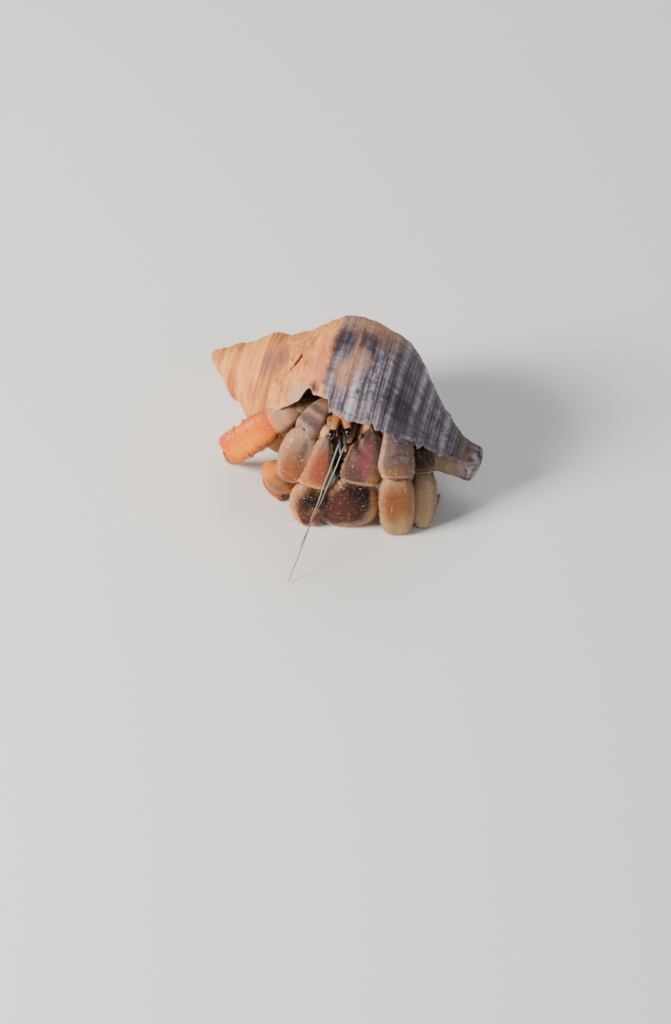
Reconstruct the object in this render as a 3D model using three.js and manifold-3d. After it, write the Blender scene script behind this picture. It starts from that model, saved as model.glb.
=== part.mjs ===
// Land hermit crab in a worn rock-snail shell, life size, as a still display model.
// Millimetres, +Z up. The crab looks along -Y; the shell's tip points to -X.
// Layout points are written about a spot on the ground under the head; the finished
// group is then shifted so that the middle of its underside is the origin.

import * as THREE from 'three';
import { mergeVertices } from 'three/addons/utils/BufferGeometryUtils.js';
import Module from 'manifold-3d';

const wasm = await Module();
wasm.setup();

// ---------------------------------------------------------------- driving sizes

const GAP = 0.12; // clearance between neighbouring pieces
const WELD = 1e-4; // distance at which vertices count as one
const FINEST = 0.01; // shortest edge left after a cut
const FLATNESS = 0.04; // how far a surface may be smoothed over after a cut
const FLOOR = 0; // height of the ground
const GROUND_BLOCK = 120; // side of the block that trims the feet to the ground
const LAP = 0.5; // how far a limb piece runs on past each of its joints
const SECTION_SQUARE = 0.8; // 1 gives an oval section, less a squarer one
const END_RINGS = { first: 0.35, spare: 0.3 }; // how near a limb piece's end rings come to its ends
const HALVINGS = 24; // steps in a search by halving

// Shell: a logarithmic spiral wound about an axis that runs from the apex to the canal tip.
const SHELL = {
  apex: new THREE.Vector3(-23.7, 25.28, 16.46), // where the spiral would end if it weren't worn
  axis: new THREE.Vector3(0.9087, -0.3829, -0.1662).normalize(),
  lipSide: new THREE.Vector3(-0.1551, -0.6795, 0.7171), // from the axis towards the outer lip
  lipTurn: 2.5, // degrees from lipSide to the lip, about the axis
  blunt: 1.0, // how far the apex is worn back
  growth: 2.066, // size ratio of one whorl to the next
  drawnAt: 88, // degrees behind the lip at which the profile below is drawn
  length: 53.6, // apex to canal tip along the axis
  spireSwell: { share: 0.082, start: 240, end: 480 }, // the spire stands a little wider
  canalRadius: 3.2,
  tipCap: 1.2, // rounded end beyond the canal
  wall: 1.1,
  whorls: 4,
  fadeTurn: 180, // degrees over which the first whorl grows from nothing
};

// Whorl profile as a cubic curve of (distance along the axis, radius): suture to periphery.
const WHORL_PROFILE = [
  new THREE.Vector2(12.74, 8.62),
  new THREE.Vector2(19.27, 11.47),
  new THREE.Vector2(19.79, 18.35),
  new THREE.Vector2(29.99, 16.5),
];

const SHELL_STEP = 18; // degrees between profiles round the axis
const SPIRE_ROWS = 3; // rows of faces across one spire whorl
const BASE_ROWS = 9; // rows of faces from the last whorl's periphery to the canal tip
const SPIRE_END = 0.86; // share of a spire whorl's profile left in view by the next suture

const CHAMBER = {
  start: -24,
  end: 192,
  step: 24,
  rows: 8,
  sutureSide: 0.1,
  canalSide: 1.9,
  canalDepth: 1.2,
  glaze: 0.25,
};
const ABDOMEN = { start: 24, end: 144, step: 24, clearance: 0.55 };

// The last stretch of wall up to the lip: it swells at the edge and dies into the wall behind.
const LIP = {
  back: 42,
  columns: 3,
  rows: 12,
  advance: 5,
  canalSide: 1.94,
  suture: { reach: 27, until: 0.45, power: 1.3 },
  tip: { reach: 5, from: 1.5 },
  arch: { reach: -5, start: 0.36, end: 0.8, ease: 0.07 },
  swellOut: 0.2,
  swellIn: 0.4,
  outerSink: 0.68,
  innerSink: 0.78,
};

// Head pieces, front to back. Each is a rounded piece from one place to another.
const EYE_DOME = {
  face: [0, -0.4, 1], width: [1.5, 1.7, 1.4], depth: [1.5, 1.7, 1.4], blunt: [2, 2], rings: 5,
};
const EYE_STALK = { face: [0, -0.4, 1], width: [1.4, 1.15, 1.5], depth: [1.7, 1.5, 1.5] };
const WHISKER = { face: [0, -1, 0.5], width: [0.75, 0.6, 0.55], depth: [0.75, 0.6, 0.55], sides: 6 };
const FEELER = { face: [0, -1, 0.5], width: [1.0, 0.8, 0.6], depth: [1.0, 0.8, 0.6], sides: 6, rings: 5 };
const FEELER_BASE = { face: [0, -1, 0.6], width: [1.6, 2.0, 1.3], depth: [1.4, 1.6, 1.2], rings: 5 };
const MOUTH_LEG = { face: [0, -1, 0.5], width: [1.6, 1.9, 1.1], depth: [1.4, 1.7, 1.0], rings: 5 };

const ROOT = { sides: 6, rings: 4 };

const HEAD_PIECES = [
  { name: 'antenna_right', from: [0.4, -0.9, 19.8], to: [-8.3, -17.9, 0.45], ...WHISKER },
  { name: 'antenna_left', from: [2.0, -1.1, 17.6], to: [-5.5, -11.0, 3.0], ...WHISKER },
  { name: 'cornea_right', from: [-0.4, -0.7, 21.2], to: [-0.8, -2.3, 20.6], ...EYE_DOME },
  { name: 'cornea_left', from: [2.1, -0.6, 21.5], to: [2.5, -2.2, 20.9], ...EYE_DOME },
  { name: 'eyestalk_right', from: [0.6, 2.8, 22.5], to: [-0.5, -1.1, 21.1], ...EYE_STALK },
  { name: 'eyestalk_left', from: [1.6, 2.8, 22.6], to: [2.2, -1.0, 21.4], ...EYE_STALK },
  { name: 'antennule_right', from: [0.6, 0.4, 20.6], to: [0.9, -4.0, 18.4], ...FEELER },
  { name: 'antennule_left', from: [1.5, 0.4, 20.6], to: [1.8, -3.8, 18.6], ...FEELER },
  { name: 'antenna_base_right', from: [-0.9, 2.6, 21.4], to: [0.3, -0.7, 19.7], ...FEELER_BASE },
  { name: 'antenna_base_left', from: [3.6, 2.6, 21.4], to: [2.1, -0.8, 18.0], ...FEELER_BASE },
  { name: 'mouth_leg_right', from: [-0.1, 3.0, 18.6], to: [0.2, -0.8, 15.4], ...MOUTH_LEG },
  { name: 'mouth_leg_left', from: [2.4, 3.0, 18.6], to: [2.0, -0.8, 15.2], ...MOUTH_LEG },
];

const TRUNK_PIECES = [
  {
    name: 'carapace',
    from: [1.2, 1.2, 21.6],
    to: [4.4, 7.4, 27.4],
    face: [-0.1, -0.6, 0.75],
    width: [5.0, 8.4, 6.4],
    depth: [3.6, 5.4, 4.6],
    sides: 12,
  },
  {
    name: 'thorax',
    from: [1.8, 2.2, 18.0],
    to: [3.4, 7.6, 23.0],
    face: [-0.1, -0.6, 0.75],
    width: [3.8, 6.0, 4.8],
    depth: [2.6, 3.8, 3.2],
    sides: 8,
    rings: 5,
  },
];

// Each limb's joints, from the body outwards, then one piece between each two of them.
const LIMBS = [
  {
    name: 'cheliped_left',
    joints: [
      [3.4, 4.4, 18.0], [5.4, 3.8, 18.4], [6.3, 0.8, 19.9],
      [5.0, -1.9, 10.2], [-2.0, -3.0, 0.4],
    ],
    pieces: [
      { part: 'ischium', face: [0, -1, 1], width: [3.0, 3.4, 3.2], depth: [2.8, 3.0, 2.8], ...ROOT },
      { part: 'merus', face: [-1, 0, 1], width: [3.4, 4.0, 4.2], depth: [3.0, 3.4, 3.4] },
      {
        part: 'carpus', face: [0, -1, 0.3],
        width: [4.2, 6.2, 6.8], depth: [3.8, 5.0, 4.8], rings: 7, sides: 10,
      },
      {
        part: 'palm', face: [0, -1, 0.15], width: [6.2, 9.8, 4.2], depth: [4.2, 5.4, 2.6],
        bow: [1.2, 0, -0.9], blunt: [3, 2.4], rings: 8, sides: 12, last: true,
      },
      {
        part: 'dactyl', from: [0.5, -2.4, 8.3], to: [-2.8, -2.7, 1.2], face: [0, -1, 0],
        width: [2.2, 2.6, 1.2], depth: [2.6, 3.2, 1.8], blunt: [3, 2.2], last: true,
      },
    ],
  },
  {
    name: 'cheliped_right',
    joints: [
      [0.2, 4.4, 18.2], [-1.2, 3.6, 18.6], [-1.5, 0.4, 18.8],
      [-4.5, -2.0, 9.4], [-5.1, -3.4, -0.2],
    ],
    pieces: [
      { part: 'ischium', face: [0, -1, 1], width: [2.6, 2.9, 2.6], depth: [2.4, 2.6, 2.4], ...ROOT },
      { part: 'merus', face: [-1, 0, 1], width: [2.6, 3.0, 3.0], depth: [2.4, 2.8, 2.8] },
      {
        part: 'carpus', face: [0, -1, 0.3],
        width: [2.6, 4.6, 5.0], depth: [2.6, 3.8, 3.8], rings: 7, sides: 10,
      },
      {
        part: 'palm', face: [0, -1, 0.15], width: [5.2, 6.6, 3.8], depth: [3.4, 4.0, 2.2],
        blunt: [3, 2.2], rings: 7, sides: 10, last: true,
      },
      {
        part: 'dactyl', from: [-3.2, -3.0, 7.0], to: [-4.3, -4.0, 0.5], face: [0, -1, 0],
        width: [1.9, 2.2, 1.1], depth: [2.2, 2.6, 1.4], blunt: [3, 2.2], last: true,
      },
    ],
  },
  {
    name: 'leg_2_left',
    joints: [
      [4.6, 4.9, 16.6], [6.2, 4.2, 17.8], [10.6, 1.6, 19.2],
      [10.9, -3.3, 12.2], [11.1, -4.9, -0.1], [7.4, 2.6, 0.1],
    ],
    pieces: [
      { part: 'ischium', face: [0, -1, 1], width: [2.8, 3.2, 3.0], depth: [2.6, 2.8, 2.8], ...ROOT },
      { part: 'merus', face: [0, -0.4, 1], width: [3.2, 3.8, 4.2], depth: [2.8, 3.2, 3.4] },
      { part: 'carpus', face: [0, -1, 0.4], width: [4.6, 6.2, 5.6], depth: [3.6, 4.6, 4.4], rings: 7 },
      {
        part: 'propodus', face: [0, -1, 0.1],
        width: [5.2, 6.2, 4.8], depth: [4.2, 4.6, 3.6], rings: 7, last: true,
      },
      {
        part: 'dactyl', from: [10.7, -3.6, 1.9], face: [0, 0, 1],
        width: [2.8, 2.4, 0.8], depth: [2.4, 2.0, 0.7], blunt: [3, 2], last: true,
      },
    ],
  },
  {
    name: 'leg_3_left',
    joints: [
      [4.8, 5.2, 15.2], [7.0, 4.4, 15.4], [15.2, 2.6, 14.7],
      [15.9, -0.9, 11.0], [15.7, -3.8, -0.1], [19.0, 4.4, 0.1],
    ],
    pieces: [
      { part: 'ischium', face: [0, -1, 1], width: [2.6, 2.8, 2.6], depth: [2.4, 2.6, 2.4], ...ROOT },
      { part: 'merus', face: [0, -0.6, 1], width: [2.8, 3.2, 3.4], depth: [2.4, 2.8, 2.8] },
      { part: 'carpus', face: [0, -1, 0.6], width: [3.6, 4.4, 4.2], depth: [3.0, 3.6, 3.4] },
      {
        part: 'propodus', face: [0, -1, 0.1],
        width: [4.0, 4.6, 3.6], depth: [3.2, 3.6, 2.8], rings: 7, last: true,
      },
      {
        part: 'dactyl', from: [15.8, -2.6, 1.7], face: [0, 0, 1],
        width: [2.4, 2.0, 0.8], depth: [2.0, 1.8, 0.7], blunt: [3, 2], last: true,
      },
    ],
  },
  {
    name: 'leg_2_right',
    joints: [
      [0.6, 5.2, 20.0], [-1.2, 6.1, 21.7], [-5.0, 1.9, 19.0],
      [-8.4, -1.0, 9.6], [-11.9, 4.6, 4.8], [-9.7, 2.8, -0.2],
    ],
    pieces: [
      { part: 'ischium', face: [0, -1, 1], width: [2.6, 3.0, 3.0], depth: [2.6, 2.8, 2.8], ...ROOT },
      { part: 'merus', face: [-0.4, -0.6, 1], width: [3.0, 4.4, 5.2], depth: [2.8, 3.2, 3.4] },
      {
        part: 'carpus', face: [0, -1, 0.3],
        width: [5.4, 7.0, 4.8], depth: [3.8, 4.8, 3.8], rings: 7, sides: 10,
      },
      { part: 'propodus', face: [-0.7, -0.7, 0], width: [5.0, 6.2, 5.2], depth: [3.6, 4.2, 3.8] },
      {
        part: 'dactyl', face: [-0.7, -0.7, 0], width: [4.2, 3.6, 1.2], depth: [3.2, 2.8, 1.0],
        blunt: [3, 2], last: true,
      },
    ],
  },
  {
    name: 'leg_3_right',
    joints: [
      [0.4, 6.2, 19.2], [-2.8, 8.0, 20.0], [-6.6, 8.2, 18.2],
      [-11.2, 7.7, 14.9], [-19.4, 7.3, 8.4], [-18.4, 13.0, -0.3],
    ],
    pieces: [
      { part: 'ischium', face: [0, -1, 1], width: [2.4, 2.8, 2.8], depth: [2.2, 2.4, 2.6], ...ROOT },
      { part: 'merus', face: [0, -1, 1], width: [3.0, 3.4, 3.6], depth: [2.4, 2.6, 2.8] },
      { part: 'carpus', face: [0, -1, 0.8], width: [3.8, 4.2, 4.4], depth: [2.8, 3.2, 3.2] },
      { part: 'propodus', face: [0, -1, 0.8], width: [4.8, 5.8, 5.2], depth: [3.0, 3.4, 2.8], rings: 7 },
      {
        part: 'dactyl', face: [-1, 0, 0], width: [3.2, 2.6, 0.9], depth: [2.6, 2.2, 0.8],
        blunt: [3, 2], last: true,
      },
    ],
  },
];

// ---------------------------------------------------------------- small helpers

const vec = ([x, y, z]) => new THREE.Vector3(x, y, z);
const degrees = THREE.MathUtils.degToRad;
const mix = THREE.MathUtils.lerp;
const { clamp } = THREE.MathUtils;
const squared = (value) => Math.sign(value) * Math.abs(value) ** SECTION_SQUARE;

/** Closed solid from a triangle soup geometry, with shared vertices merged. */
function toSolid(geometry, weld = WELD) {
  geometry.deleteAttribute('normal');
  geometry.deleteAttribute('uv');
  const merged = mergeVertices(geometry, weld);
  const source = Array.from(merged.index.array);
  const triangles = [];
  for (let i = 0; i < source.length; i += 3) {
    const [a, b, c] = source.slice(i, i + 3);
    if (a !== b && b !== c && c !== a) {
      triangles.push(a, b, c);
    }
  }
  const mesh = new wasm.Mesh({
    numProp: 3,
    vertProperties: new Float32Array(merged.attributes.position.array),
    triVerts: new Uint32Array(triangles),
  });
  return new wasm.Manifold(mesh);
}

/** three.js geometry of a solid. */
function toGeometry(solid) {
  const mesh = solid.getMesh();
  const geometry = new THREE.BufferGeometry();
  geometry.setAttribute('position', new THREE.BufferAttribute(new Float32Array(mesh.vertProperties), 3));
  geometry.setIndex(new THREE.BufferAttribute(new Uint32Array(mesh.triVerts), 1));
  geometry.computeVertexNormals();
  return geometry;
}

/** Solid with its shortest edges closed up, so that no sliver is left by a cut. */
function tidy(solid) {
  return toSolid(toGeometry(solid.simplify(FLATNESS)), FINEST);
}

/** Indexed geometry of points and faces; a face may be a triangle or a quad. */
function facesToGeometry(points, faces) {
  const index = [];
  for (const face of faces) {
    index.push(face[0], face[1], face[2]);
    if (face.length === 4) {
      index.push(face[0], face[2], face[3]);
    }
  }
  const geometry = new THREE.BufferGeometry();
  const numbers = points.flatMap((point) => point.toArray());
  geometry.setAttribute('position', new THREE.Float32BufferAttribute(numbers, 3));
  geometry.setIndex(index);
  return geometry;
}

/** Solid skinned over rings of equal length, with each end closed by a fan. */
function loft(rings) {
  const size = rings[0].length;
  const points = rings.flat();
  const faces = [];
  for (let ring = 0; ring + 1 < rings.length; ring += 1) {
    for (let i = 0; i < size; i += 1) {
      const next = (i + 1) % size;
      const low = ring * size;
      const high = low + size;
      faces.push([low + i, low + next, high + next, high + i]);
    }
  }
  for (const [ring, flip] of [[0, true], [rings.length - 1, false]]) {
    const hub = points.length;
    const middle = new THREE.Vector3();
    rings[ring].forEach((point) => middle.addScaledVector(point, 1 / size));
    points.push(middle);
    for (let i = 0; i < size; i += 1) {
      const here = ring * size + i;
      const next = ring * size + ((i + 1) % size);
      faces.push(flip ? [hub, next, here] : [hub, here, next]);
    }
  }
  return toSolid(facesToGeometry(points, faces));
}

/** Solid lofted over rings, facing out whichever way they were wound. */
function facingOut(rings) {
  const solid = loft(rings);
  return solid.volume() > 0 ? solid : loft(rings.map((ring) => [...ring].reverse()));
}

// ---------------------------------------------------------------- shell

const lipAcross = new THREE.Vector3().crossVectors(SHELL.lipSide, SHELL.axis).normalize();

/** Size of the whorl, against the drawn profile, at an angle behind the lip. */
function whorlSize(angle) {
  const fade = clamp((360 * SHELL.whorls - angle) / SHELL.fadeTurn, 0, 1);
  return SHELL.growth ** ((SHELL.drawnAt - angle) / 360) * fade;
}

/** Place on the drawn profile, suture 0 to periphery 1, sized for an angle and worn at the apex. */
function shoulderPoint(angle, s) {
  const { share, start, end } = SHELL.spireSwell;
  const swell = 1 + share * clamp((angle - start) / (end - start), 0, 1);
  const point = new THREE.CubicBezierCurve(...WHORL_PROFILE).getPoint(s);
  point.multiplyScalar(whorlSize(angle));
  return new THREE.Vector2(Math.hypot(point.x, SHELL.blunt), point.y * swell);
}

/** Distance along the axis and radius at s: 0 suture, 1 periphery, 2 canal tip. */
function whorlPoint(angle, s) {
  if (s <= 1) {
    return shoulderPoint(angle, s);
  }
  const edge = shoulderPoint(angle, 1);
  const down = s - 1;
  const swell = (1 + Math.cos(Math.PI * down)) / 2;
  return new THREE.Vector2(
    mix(edge.x, SHELL.length, down),
    mix(SHELL.canalRadius, edge.y, swell),
  );
}

/** Outer radius of the whorl at an angle, for a distance along the axis. */
function whorlRadius(angle, along) {
  let low = 0;
  let high = 2;
  for (let i = 0; i < HALVINGS; i += 1) {
    const middle = (low + high) / 2;
    if (whorlPoint(angle, middle).x < along) {
      low = middle;
    } else {
      high = middle;
    }
  }
  return whorlPoint(angle, low).y;
}

/** Place in space for an angle behind the lip, a distance along the axis and a radius. */
function shellPlace(angle, along, radius) {
  const turn = degrees(angle + SHELL.lipTurn);
  return SHELL.apex.clone()
    .addScaledVector(SHELL.axis, along)
    .addScaledVector(SHELL.lipSide, radius * Math.cos(turn))
    .addScaledVector(lipAcross, radius * Math.sin(turn));
}

function shellSurface(angle, s, grow) {
  const point = whorlPoint(angle, s);
  return shellPlace(angle, point.x, point.y > 0 ? point.y + grow : 0);
}

/** Everything inside the outer surface, cut flat across the mouth. */
function shellBlock(grow) {
  const spireS = (row) => (row / SPIRE_ROWS) * SPIRE_END;
  const column = (angle) => {
    const places = [];
    for (let whorl = SHELL.whorls - 1; whorl >= 0; whorl -= 1) {
      for (let row = 0; row < SPIRE_ROWS; row += 1) {
        places.push(shellSurface(angle + 360 * whorl, spireS(row), grow));
      }
    }
    for (let row = 0; row <= BASE_ROWS; row += 1) {
      places.push(shellSurface(angle, mix(SPIRE_END, 2, row / BASE_ROWS), grow));
    }
    return places;
  };
  const columns = [];
  for (let angle = 0; angle <= 360; angle += SHELL_STEP) {
    columns.push(column(angle));
  }
  const points = columns.flat();
  const height = columns[0].length;
  const faces = [];
  for (let c = 0; c + 1 < columns.length; c += 1) {
    for (let row = 0; row + 1 < height; row += 1) {
      const here = c * height + row;
      faces.push([here, here + 1, here + height + 1, here + height]);
    }
  }
  const apex = points.push(shellPlace(0, SHELL.blunt, 0)) - 1;
  const tip = points.push(shellPlace(0, SHELL.length + SHELL.tipCap + grow, 0)) - 1;
  for (let c = 0; c + 1 < columns.length; c += 1) {
    faces.push([apex, c * height, (c + 1) * height]);
    faces.push([tip, (c + 2) * height - 1, (c + 1) * height - 1]);
  }
  // Round the spire the last profile falls on the first, one whorl along. From the last
  // suture on they part, and the flat mouth lies between them.
  const older = (row) => (columns.length - 1) * height + row;
  const suture = height - 1 - BASE_ROWS - SPIRE_ROWS;
  const shoulder = suture + SPIRE_ROWS;
  for (let row = suture - 1; row < shoulder; row += 1) {
    faces.push([row, older(shoulder), row + 1]);
  }
  for (let row = shoulder; row + 1 < height; row += 1) {
    faces.push([row, older(row), older(row + 1), row + 1]);
  }
  faces.push([tip, height - 1, older(height - 1)]);
  return toSolid(facesToGeometry(points, faces));
}

/** Room inside the last whorl, from outside the mouth back to an end angle. */
function chamber(start, end, step, clearance) {
  const rings = [];
  for (let angle = start; angle <= end; angle += step) {
    const outer = [];
    const inner = [];
    for (let row = 0; row <= CHAMBER.rows; row += 1) {
      const s = mix(CHAMBER.sutureSide, CHAMBER.canalSide, row / CHAMBER.rows);
      const point = whorlPoint(angle, s);
      const wall = SHELL.wall + clearance;
      const along = point.x + (row === 0 ? wall : 0);
      const radius = point.y - wall;
      const older = whorlRadius(angle + 360, along) + CHAMBER.glaze + clearance;
      const groove = CHAMBER.canalDepth - 2 * clearance;
      outer.push(shellPlace(angle, along, radius));
      inner.push(shellPlace(angle, along, Math.min(older, radius - groove)));
    }
    rings.push([...outer, ...inner.reverse()]);
  }
  return facingOut(rings);
}

/** How far the edge of the lip runs past the flat mouth, in degrees. */
function lipReach(s) {
  const { suture, tip, arch } = LIP;
  const towardsSuture = Math.max(0, 1 - s / suture.until) ** suture.power;
  const towardsTip = Math.max(0, s - tip.from) / (2 - tip.from);
  const rise = THREE.MathUtils.smoothstep(s, arch.start, arch.start + arch.ease);
  const fall = THREE.MathUtils.smoothstep(s, arch.end - arch.ease, arch.end);
  const underArch = arch.reach * rise * (1 - fall);
  return LIP.advance + suture.reach * towardsSuture + tip.reach * towardsTip + underArch;
}

/** The last stretch of the wall up to the lip, as a curved plate. */
function lipPlate(grow) {
  const sheet = (edgeDepth, backDepth) => {
    const rows = [];
    for (let row = 0; row <= LIP.rows; row += 1) {
      const s = mix(0, LIP.canalSide, row / LIP.rows);
      const line = [];
      for (let c = 0; c <= LIP.columns; c += 1) {
        const angle = mix(-lipReach(s), LIP.back, c / LIP.columns);
        const point = whorlPoint(angle, s);
        const depth = mix(edgeDepth, backDepth, c / LIP.columns);
        line.push(shellPlace(angle, point.x, point.y - depth));
      }
      rows.push(line);
    }
    return rows;
  };
  const outer = sheet(-LIP.swellOut - grow, LIP.outerSink);
  const inner = sheet(SHELL.wall + LIP.swellIn + grow, LIP.innerSink);
  const rings = outer.map((line, row) => [...line, ...[...inner[row]].reverse()]);
  return facingOut(rings);
}

function makeShell(grow = 0) {
  const room = chamber(CHAMBER.start, CHAMBER.end, CHAMBER.step, grow);
  return shellBlock(grow).subtract(room).add(lipPlate(grow));
}

/** The soft hind body, curled up inside the last whorl. */
function makeAbdomen() {
  return chamber(ABDOMEN.start, ABDOMEN.end, ABDOMEN.step, ABDOMEN.clearance);
}

// ---------------------------------------------------------------- body and limb pieces

/** Value at t along three driving values: start, middle and end. */
function along([start, middle, end], t) {
  return new THREE.QuadraticBezierCurve(
    new THREE.Vector2(0, start),
    new THREE.Vector2(0.5, 2 * middle - (start + end) / 2),
    new THREE.Vector2(1, end),
  ).getPoint(t).y;
}

/**
 * One hard piece of the body, a closed rounded tube with a squared section.
 * from, to: its ends; face: the way its broad side looks; width and depth: full sizes at the
 * start, middle and end; bow: how far the middle is moved sideways; blunt: how square each end is.
 */
function makePiece(piece, grow = 0) {
  const { from, to, face, width, depth, bow = [0, 0, 0], blunt = [3, 3], sides = 8, rings = 6 } = piece;
  const run = vec(to).sub(vec(from));
  const ahead = run.clone().normalize();
  const across = new THREE.Vector3().crossVectors(ahead, vec(face)).normalize();
  const out = new THREE.Vector3().crossVectors(across, ahead).normalize();
  const start = vec(from).addScaledVector(ahead, -grow);
  const reach = run.length() + 2 * grow;
  const lines = [];
  for (let ring = 0; ring < rings; ring += 1) {
    const turn = (Math.PI * (ring + END_RINGS.first)) / (rings - END_RINGS.spare);
    const t = (1 - Math.cos(turn)) / 2;
    const square = t < 0.5 ? blunt[0] : blunt[1];
    const round = (1 - Math.abs(2 * t - 1) ** square) ** (1 / square);
    const middle = start.clone()
      .addScaledVector(ahead, reach * t)
      .addScaledVector(vec(bow), Math.sin(Math.PI * t));
    const halfWidth = (along(width, t) / 2 + grow) * round;
    const halfDepth = (along(depth, t) / 2 + grow) * round;
    const line = [];
    for (let i = 0; i < sides; i += 1) {
      const side = (2 * Math.PI * (i + 0.5)) / sides;
      line.push(middle.clone()
        .addScaledVector(across, halfWidth * squared(Math.cos(side)))
        .addScaledVector(out, halfDepth * squared(Math.sin(side))));
    }
    lines.push(line);
  }
  return facingOut(lines);
}

/** Everything under the ground, for trimming feet and shell to flats at one level. */
function underground() {
  const block = new THREE.BoxGeometry(GROUND_BLOCK, GROUND_BLOCK, GROUND_BLOCK);
  block.translate(0, 0, FLOOR - GROUND_BLOCK / 2);
  return toSolid(block);
}

/** All limb pieces with their ends, outermost first along each limb. */
function limbPieces() {
  return LIMBS.flatMap((limb) => {
    const pieces = limb.pieces.map((piece, i) => {
      const from = vec(piece.from ?? limb.joints[i]);
      const to = vec(piece.to ?? limb.joints[i + 1]);
      const ahead = to.clone().sub(from).normalize();
      return {
        ...piece,
        name: `${limb.name}_${piece.part}`,
        from: from.addScaledVector(ahead, -LAP).toArray(),
        to: to.addScaledVector(ahead, piece.last ? 0 : LAP).toArray(),
      };
    });
    return pieces.reverse();
  });
}

/** What is left of a solid above the ground and clear of others: its largest lump. */
function cutClear(solid, others) {
  const above = solid.subtract(underground());
  const clear = others.reduce((rest, other) => rest.subtract(other), above);
  const [main] = clear.decompose().sort((a, b) => b.volume() - a.volume());
  return tidy(main);
}

/** The crab's pieces, each cut to leave room for the shell and for the pieces before it. */
function fitPieces(pieces) {
  const taken = [makeShell(GAP)];
  const solids = {};
  for (const piece of pieces) {
    solids[piece.name] = cutClear(makePiece(piece), taken);
    taken.push(makePiece(piece, GAP));
  }
  solids.abdomen = cutClear(makeAbdomen(), taken.slice(1));
  return solids;
}

// ---------------------------------------------------------------- assembly

const COLOURS = {
  shell: 0x8f8378,
  cornea: 0x17110f,
  eyestalk: 0xc7803f,
  antenn: 0x7a5a48,
  cheliped: 0x8a4a35,
  leg_2: 0xb07a55,
  leg_3: 0xc48a5c,
  carapace: 0xa8704c,
  thorax: 0xa8745a,
  mouth_leg: 0x8c4c38,
  abdomen: 0xb98468,
};

function makeMesh(name, solid) {
  const key = Object.keys(COLOURS).find((start) => name.startsWith(start));
  const gloss = name.startsWith('cornea') ? 0.1 : 0.6;
  const material = new THREE.MeshStandardMaterial({ color: COLOURS[key], roughness: gloss, metalness: 0 });
  const mesh = new THREE.Mesh(toGeometry(solid), material);
  mesh.name = name;
  return mesh;
}

function assemble() {
  const shell = tidy(makeShell().subtract(underground()));
  const pieces = [...HEAD_PIECES, ...limbPieces(), ...TRUNK_PIECES];
  const solids = { shell, ...fitPieces(pieces) };
  const crab = new THREE.Group();
  for (const [name, solid] of Object.entries(solids)) {
    crab.add(makeMesh(name, solid));
  }
  const box = new THREE.Box3().setFromObject(crab);
  const middle = box.getCenter(new THREE.Vector3());
  crab.position.set(-middle.x, -middle.y, -box.min.z);
  crab.updateMatrixWorld(true);
  return crab;
}

const hermitCrab = new THREE.Group();
hermitCrab.add(assemble());

export default hermitCrab;
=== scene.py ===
"""Looks of a land hermit crab in a worn rock-snail shell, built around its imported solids.

Shapes are worked out in layout millimetres: +Z is up, the crab looks along -Y, the shell's
tip points to -X, and the layout's origin lies on the ground under the head. The last step
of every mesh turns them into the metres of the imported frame.
"""

import logging
import math
from collections.abc import Sequence
from dataclasses import dataclass, field
from enum import Enum
from functools import lru_cache

import bpy
import numpy as np
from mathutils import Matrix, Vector


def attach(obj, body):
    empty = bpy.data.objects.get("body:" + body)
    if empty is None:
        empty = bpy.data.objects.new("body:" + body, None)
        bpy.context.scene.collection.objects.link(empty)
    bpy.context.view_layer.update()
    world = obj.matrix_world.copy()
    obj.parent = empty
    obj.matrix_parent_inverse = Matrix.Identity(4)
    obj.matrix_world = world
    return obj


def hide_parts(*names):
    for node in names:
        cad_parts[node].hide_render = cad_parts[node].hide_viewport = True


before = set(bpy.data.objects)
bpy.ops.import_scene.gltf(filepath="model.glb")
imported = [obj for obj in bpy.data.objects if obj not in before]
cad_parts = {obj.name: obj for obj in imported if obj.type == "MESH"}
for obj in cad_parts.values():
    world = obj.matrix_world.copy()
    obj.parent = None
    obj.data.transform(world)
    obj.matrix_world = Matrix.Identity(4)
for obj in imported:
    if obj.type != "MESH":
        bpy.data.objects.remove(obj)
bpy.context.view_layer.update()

LOG = logging.getLogger("hermit_crab")
MM = 0.001
LAYOUT_ORIGIN = np.array((-1.74926, -6.37938, 0.0))  # the layout's origin in the frame, mm
UNWRAP = "OFBake"  # the name of the coat's map
DEEPEN, LIFT = 1.5, 1.42  # what a colour needs to be seen as meant in the studio's light

Array = np.ndarray
Triple = tuple[float, float, float]
Pair = tuple[float, float]
Colour = tuple[int, int, int]  # as it is seen on a screen, each from 0 to 255


class Slot(Enum):
    """Names of material slots, each held by a limb, head part or set of hairs."""

    SHELL = "snail_shell"
    CLAW = "claw"
    LEG = "leg"
    CARAPACE = "carapace"
    EYESTALK = "eyestalk"
    EYE = "eye"
    FEELER = "feeler"
    MOUTHPART = "mouthpart"
    ABDOMEN = "abdomen"


# ---------------------------------------------------------------- numbers


def unit(vector: Array) -> Array:
    """A vector, or several along the last axis, scaled to a length of one."""
    length = np.linalg.norm(vector, axis=-1, keepdims=True)
    return np.asarray(vector, float) / np.maximum(length, 1e-12)


def mix(first: Array | float, second: Array | float, share: Array | float) -> Array | float:
    """The value that lies at a share of the way from first to second."""
    return first + (second - first) * share


def ease(low: float, high: float, value: Array) -> Array:
    """0 below low, 1 above high, and a smooth step between them."""
    share = np.clip((np.asarray(value, float) - low) / (high - low), 0.0, 1.0)
    return share * share * (3.0 - 2.0 * share)


def bump(middle: float, reach: float, value: Array) -> Array:
    """A smooth hill of height 1 about a middle value."""
    return np.exp(-(((np.asarray(value, float) - middle) / reach) ** 2))


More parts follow.
